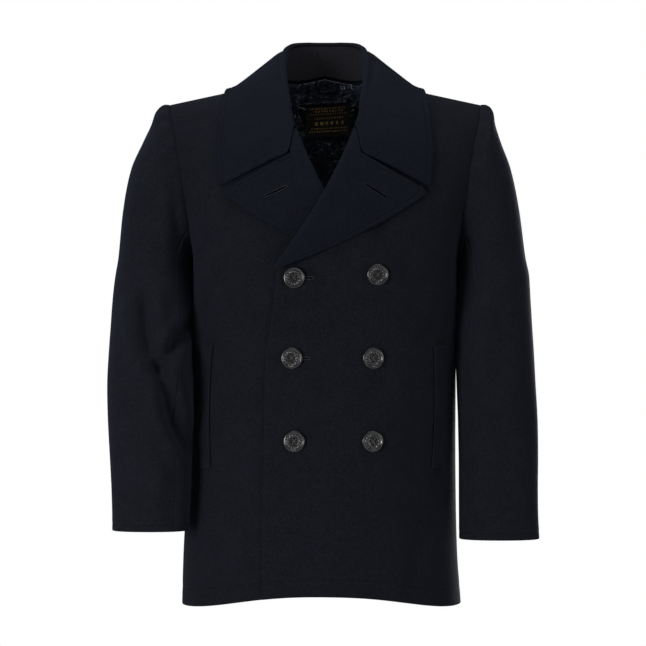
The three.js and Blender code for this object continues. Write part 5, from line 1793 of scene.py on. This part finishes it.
def tube_mesh(name, tubes):
    """All tubes as one mesh, their point numbers counted on from one to the next."""
    verts, quads, start = [], [], 0
    for rings in tubes:
        index = start + np.arange(rings.shape[0] * rings.shape[1]).reshape(rings.shape[:2])
        low, high = index[:-1], index[1:]
        quads.append(np.stack([low, np.roll(low, -1, 1), np.roll(high, -1, 1), high], -1).reshape(-1, 4))
        verts.append(rings.reshape(-1, 3))
        start += index.size
    return make_mesh(name, np.concatenate(verts), np.concatenate(quads))


def button(name, x, z):
    """A turned body, which is its face and its back as rings of points, and its sewing thread."""
    seat, across, up, out = button_seat(x, z)

    def placed(r, turn, height):
        local = np.stack([r * np.cos(turn), r * np.sin(turn), height], -1)
        return seat + local @ np.stack([across, up, out])

    # Rings of points, finest over the holes, then over the dashes, then on the rim
    stretches = [np.linspace(0.02, 6.4, 44), np.linspace(6.6, 11.2, 20), np.linspace(11.4, BUTTON_R, 12)]
    turn = np.linspace(0, 2 * np.pi, 127)
    r, t = grid_of(np.concatenate(stretches), turn)
    top = placed(r, t, button_face_height(r, t))
    back_r, back_height = np.array(BUTTON_BACK).T
    r, t = grid_of(back_r, turn)
    under = placed(r, t, np.broadcast_to(back_height[:, None], r.shape))
    rings = np.concatenate([top, under])[:, :-1]
    index = np.arange(rings.shape[0] * rings.shape[1]).reshape(rings.shape[:2])
    low, high = index[:-1], index[1:]
    quads = np.stack([low, high, np.roll(high, -1, 1), np.roll(low, -1, 1)], -1).reshape(-1, 4)
    piece = make_mesh(f"{name}_moulding", rings.reshape(-1, 3), quads)
    wear(piece, [name], PLASTIC)
    strands = []
    u = np.linspace(-1, 1, 25)[:, None]
    for axis, other in ((across, up), (up, across)):
        # The second bridge crosses over the first
        for shift in (-THREAD_APART, 0.0, THREAD_APART):
            lift = 3.35 + 0.3 * (axis is up) - 2.2 * np.abs(u) ** 9 - 0.25 * u**2
            path = seat + axis * u * (HOLE_AT + 0.15) + other * shift + out * lift
            strands.append(tube(path, THREAD_R))
    wear(tube_mesh(f"{name}_thread", strands), [], BUTTON_THREAD_PAINTED_LIGHT)


# The thread is lighter than the dark thread it stands for: painted light over the middle of each button
BUTTON_THREAD_PAINTED_LIGHT = thread("button_thread", (0.016, 0.016, 0.019), (0.070, 0.070, 0.078), 0.45, 0.0)
for name, x, z in BUTTON_PLACES:
    button(name, x, z)

# %% [markdown]
# The photograph is a shop picture: a white ground, and broad soft light from both sides and from
# above, stronger on the left, so that no shadow is deep. The cloth is so dark that the lamps have
# to be strong. The camera sees plain white paper all round, while the same paper gives the coat
# only a little light. The lamp behind shows the back, when the coat is seen from there.

# %% Stage
def pale(name, colour):
    material, tree, surface = new_material(name)
    surface.inputs["Base Color"].default_value = (*colour, 1)
    surface.inputs["Roughness"].default_value = 0.9
    return material


FLOOR_Z = -1500.0  # far enough below the hem to stay out of the view from the front
turn, radius = grid_of(np.linspace(0, 2 * np.pi, 97), np.array([0.001, 600.0, 2200.0]))
disc = np.stack([radius * np.cos(turn), radius * np.sin(turn), 0 * radius + FLOOR_Z], -1)[:-1]
index = np.arange(disc.shape[0] * disc.shape[1]).reshape(disc.shape[:2])
floor = make_mesh("floor", disc.reshape(-1, 3), grid_quads(np.concatenate([index, index[:1]])))
floor.data.materials.append(pale("floor_paper", (0.80, 0.80, 0.80)))

world = bpy.data.worlds.new("studio")
bpy.context.scene.world = world
world.use_nodes = True
tree = world.node_tree
ground = tree.nodes["Background"]
ground.inputs["Color"].default_value = (1, 1, 1, 1)
ground.inputs["Strength"].default_value = 0.11
paper = node(tree, "ShaderNodeBackground", {"Color": (1, 1, 1, 1), "Strength": 1.0})
seen = node(tree, "ShaderNodeLightPath").outputs["Is Camera Ray"]
both = node(tree, "ShaderNodeMixShader")
tree.links.new(seen, both.inputs[0])
tree.links.new(ground.outputs[0], both.inputs[1])
tree.links.new(paper.outputs[0], both.inputs[2])
tree.links.new(both.outputs[0], tree.nodes["World Output"].inputs["Surface"])

# Each lamp: name, place, where it is aimed, width and height in metres, power in watts
LAMPS = [
    ("key", (-1.9, -2.1, -0.4), (0, 0, -0.65), 1.0, 1.0, 48.0),
    ("fill", (2.2, -1.8, -0.3), (0, 0, -0.6), 1.6, 1.6, 20.0),
    ("above", (0.0, -0.3, 1.7), (0, 0, -0.3), 1.6, 1.0, 19.0),
    ("behind", (0.9, 2.6, -0.3), (0, 0, -0.45), 1.6, 1.2, 62.0),
]
for name, place, aim, width, height, power in LAMPS:
    data = bpy.data.lights.new(name, "AREA")
    data.shape = "RECTANGLE"
    data.size, data.size_y, data.energy = width, height, power
    lamp = bpy.data.objects.new(name, data)
    lamp.location = place
    dx, dy, dz = np.array(aim) - np.array(place)
    lamp.rotation_euler = (math.atan2(math.hypot(dx, dy), -dz), 0, math.atan2(-dx, dy))
    bpy.context.scene.collection.objects.link(lamp)
bpy.context.scene.view_settings.view_transform = "Standard"
print("lamps:", len(LAMPS))
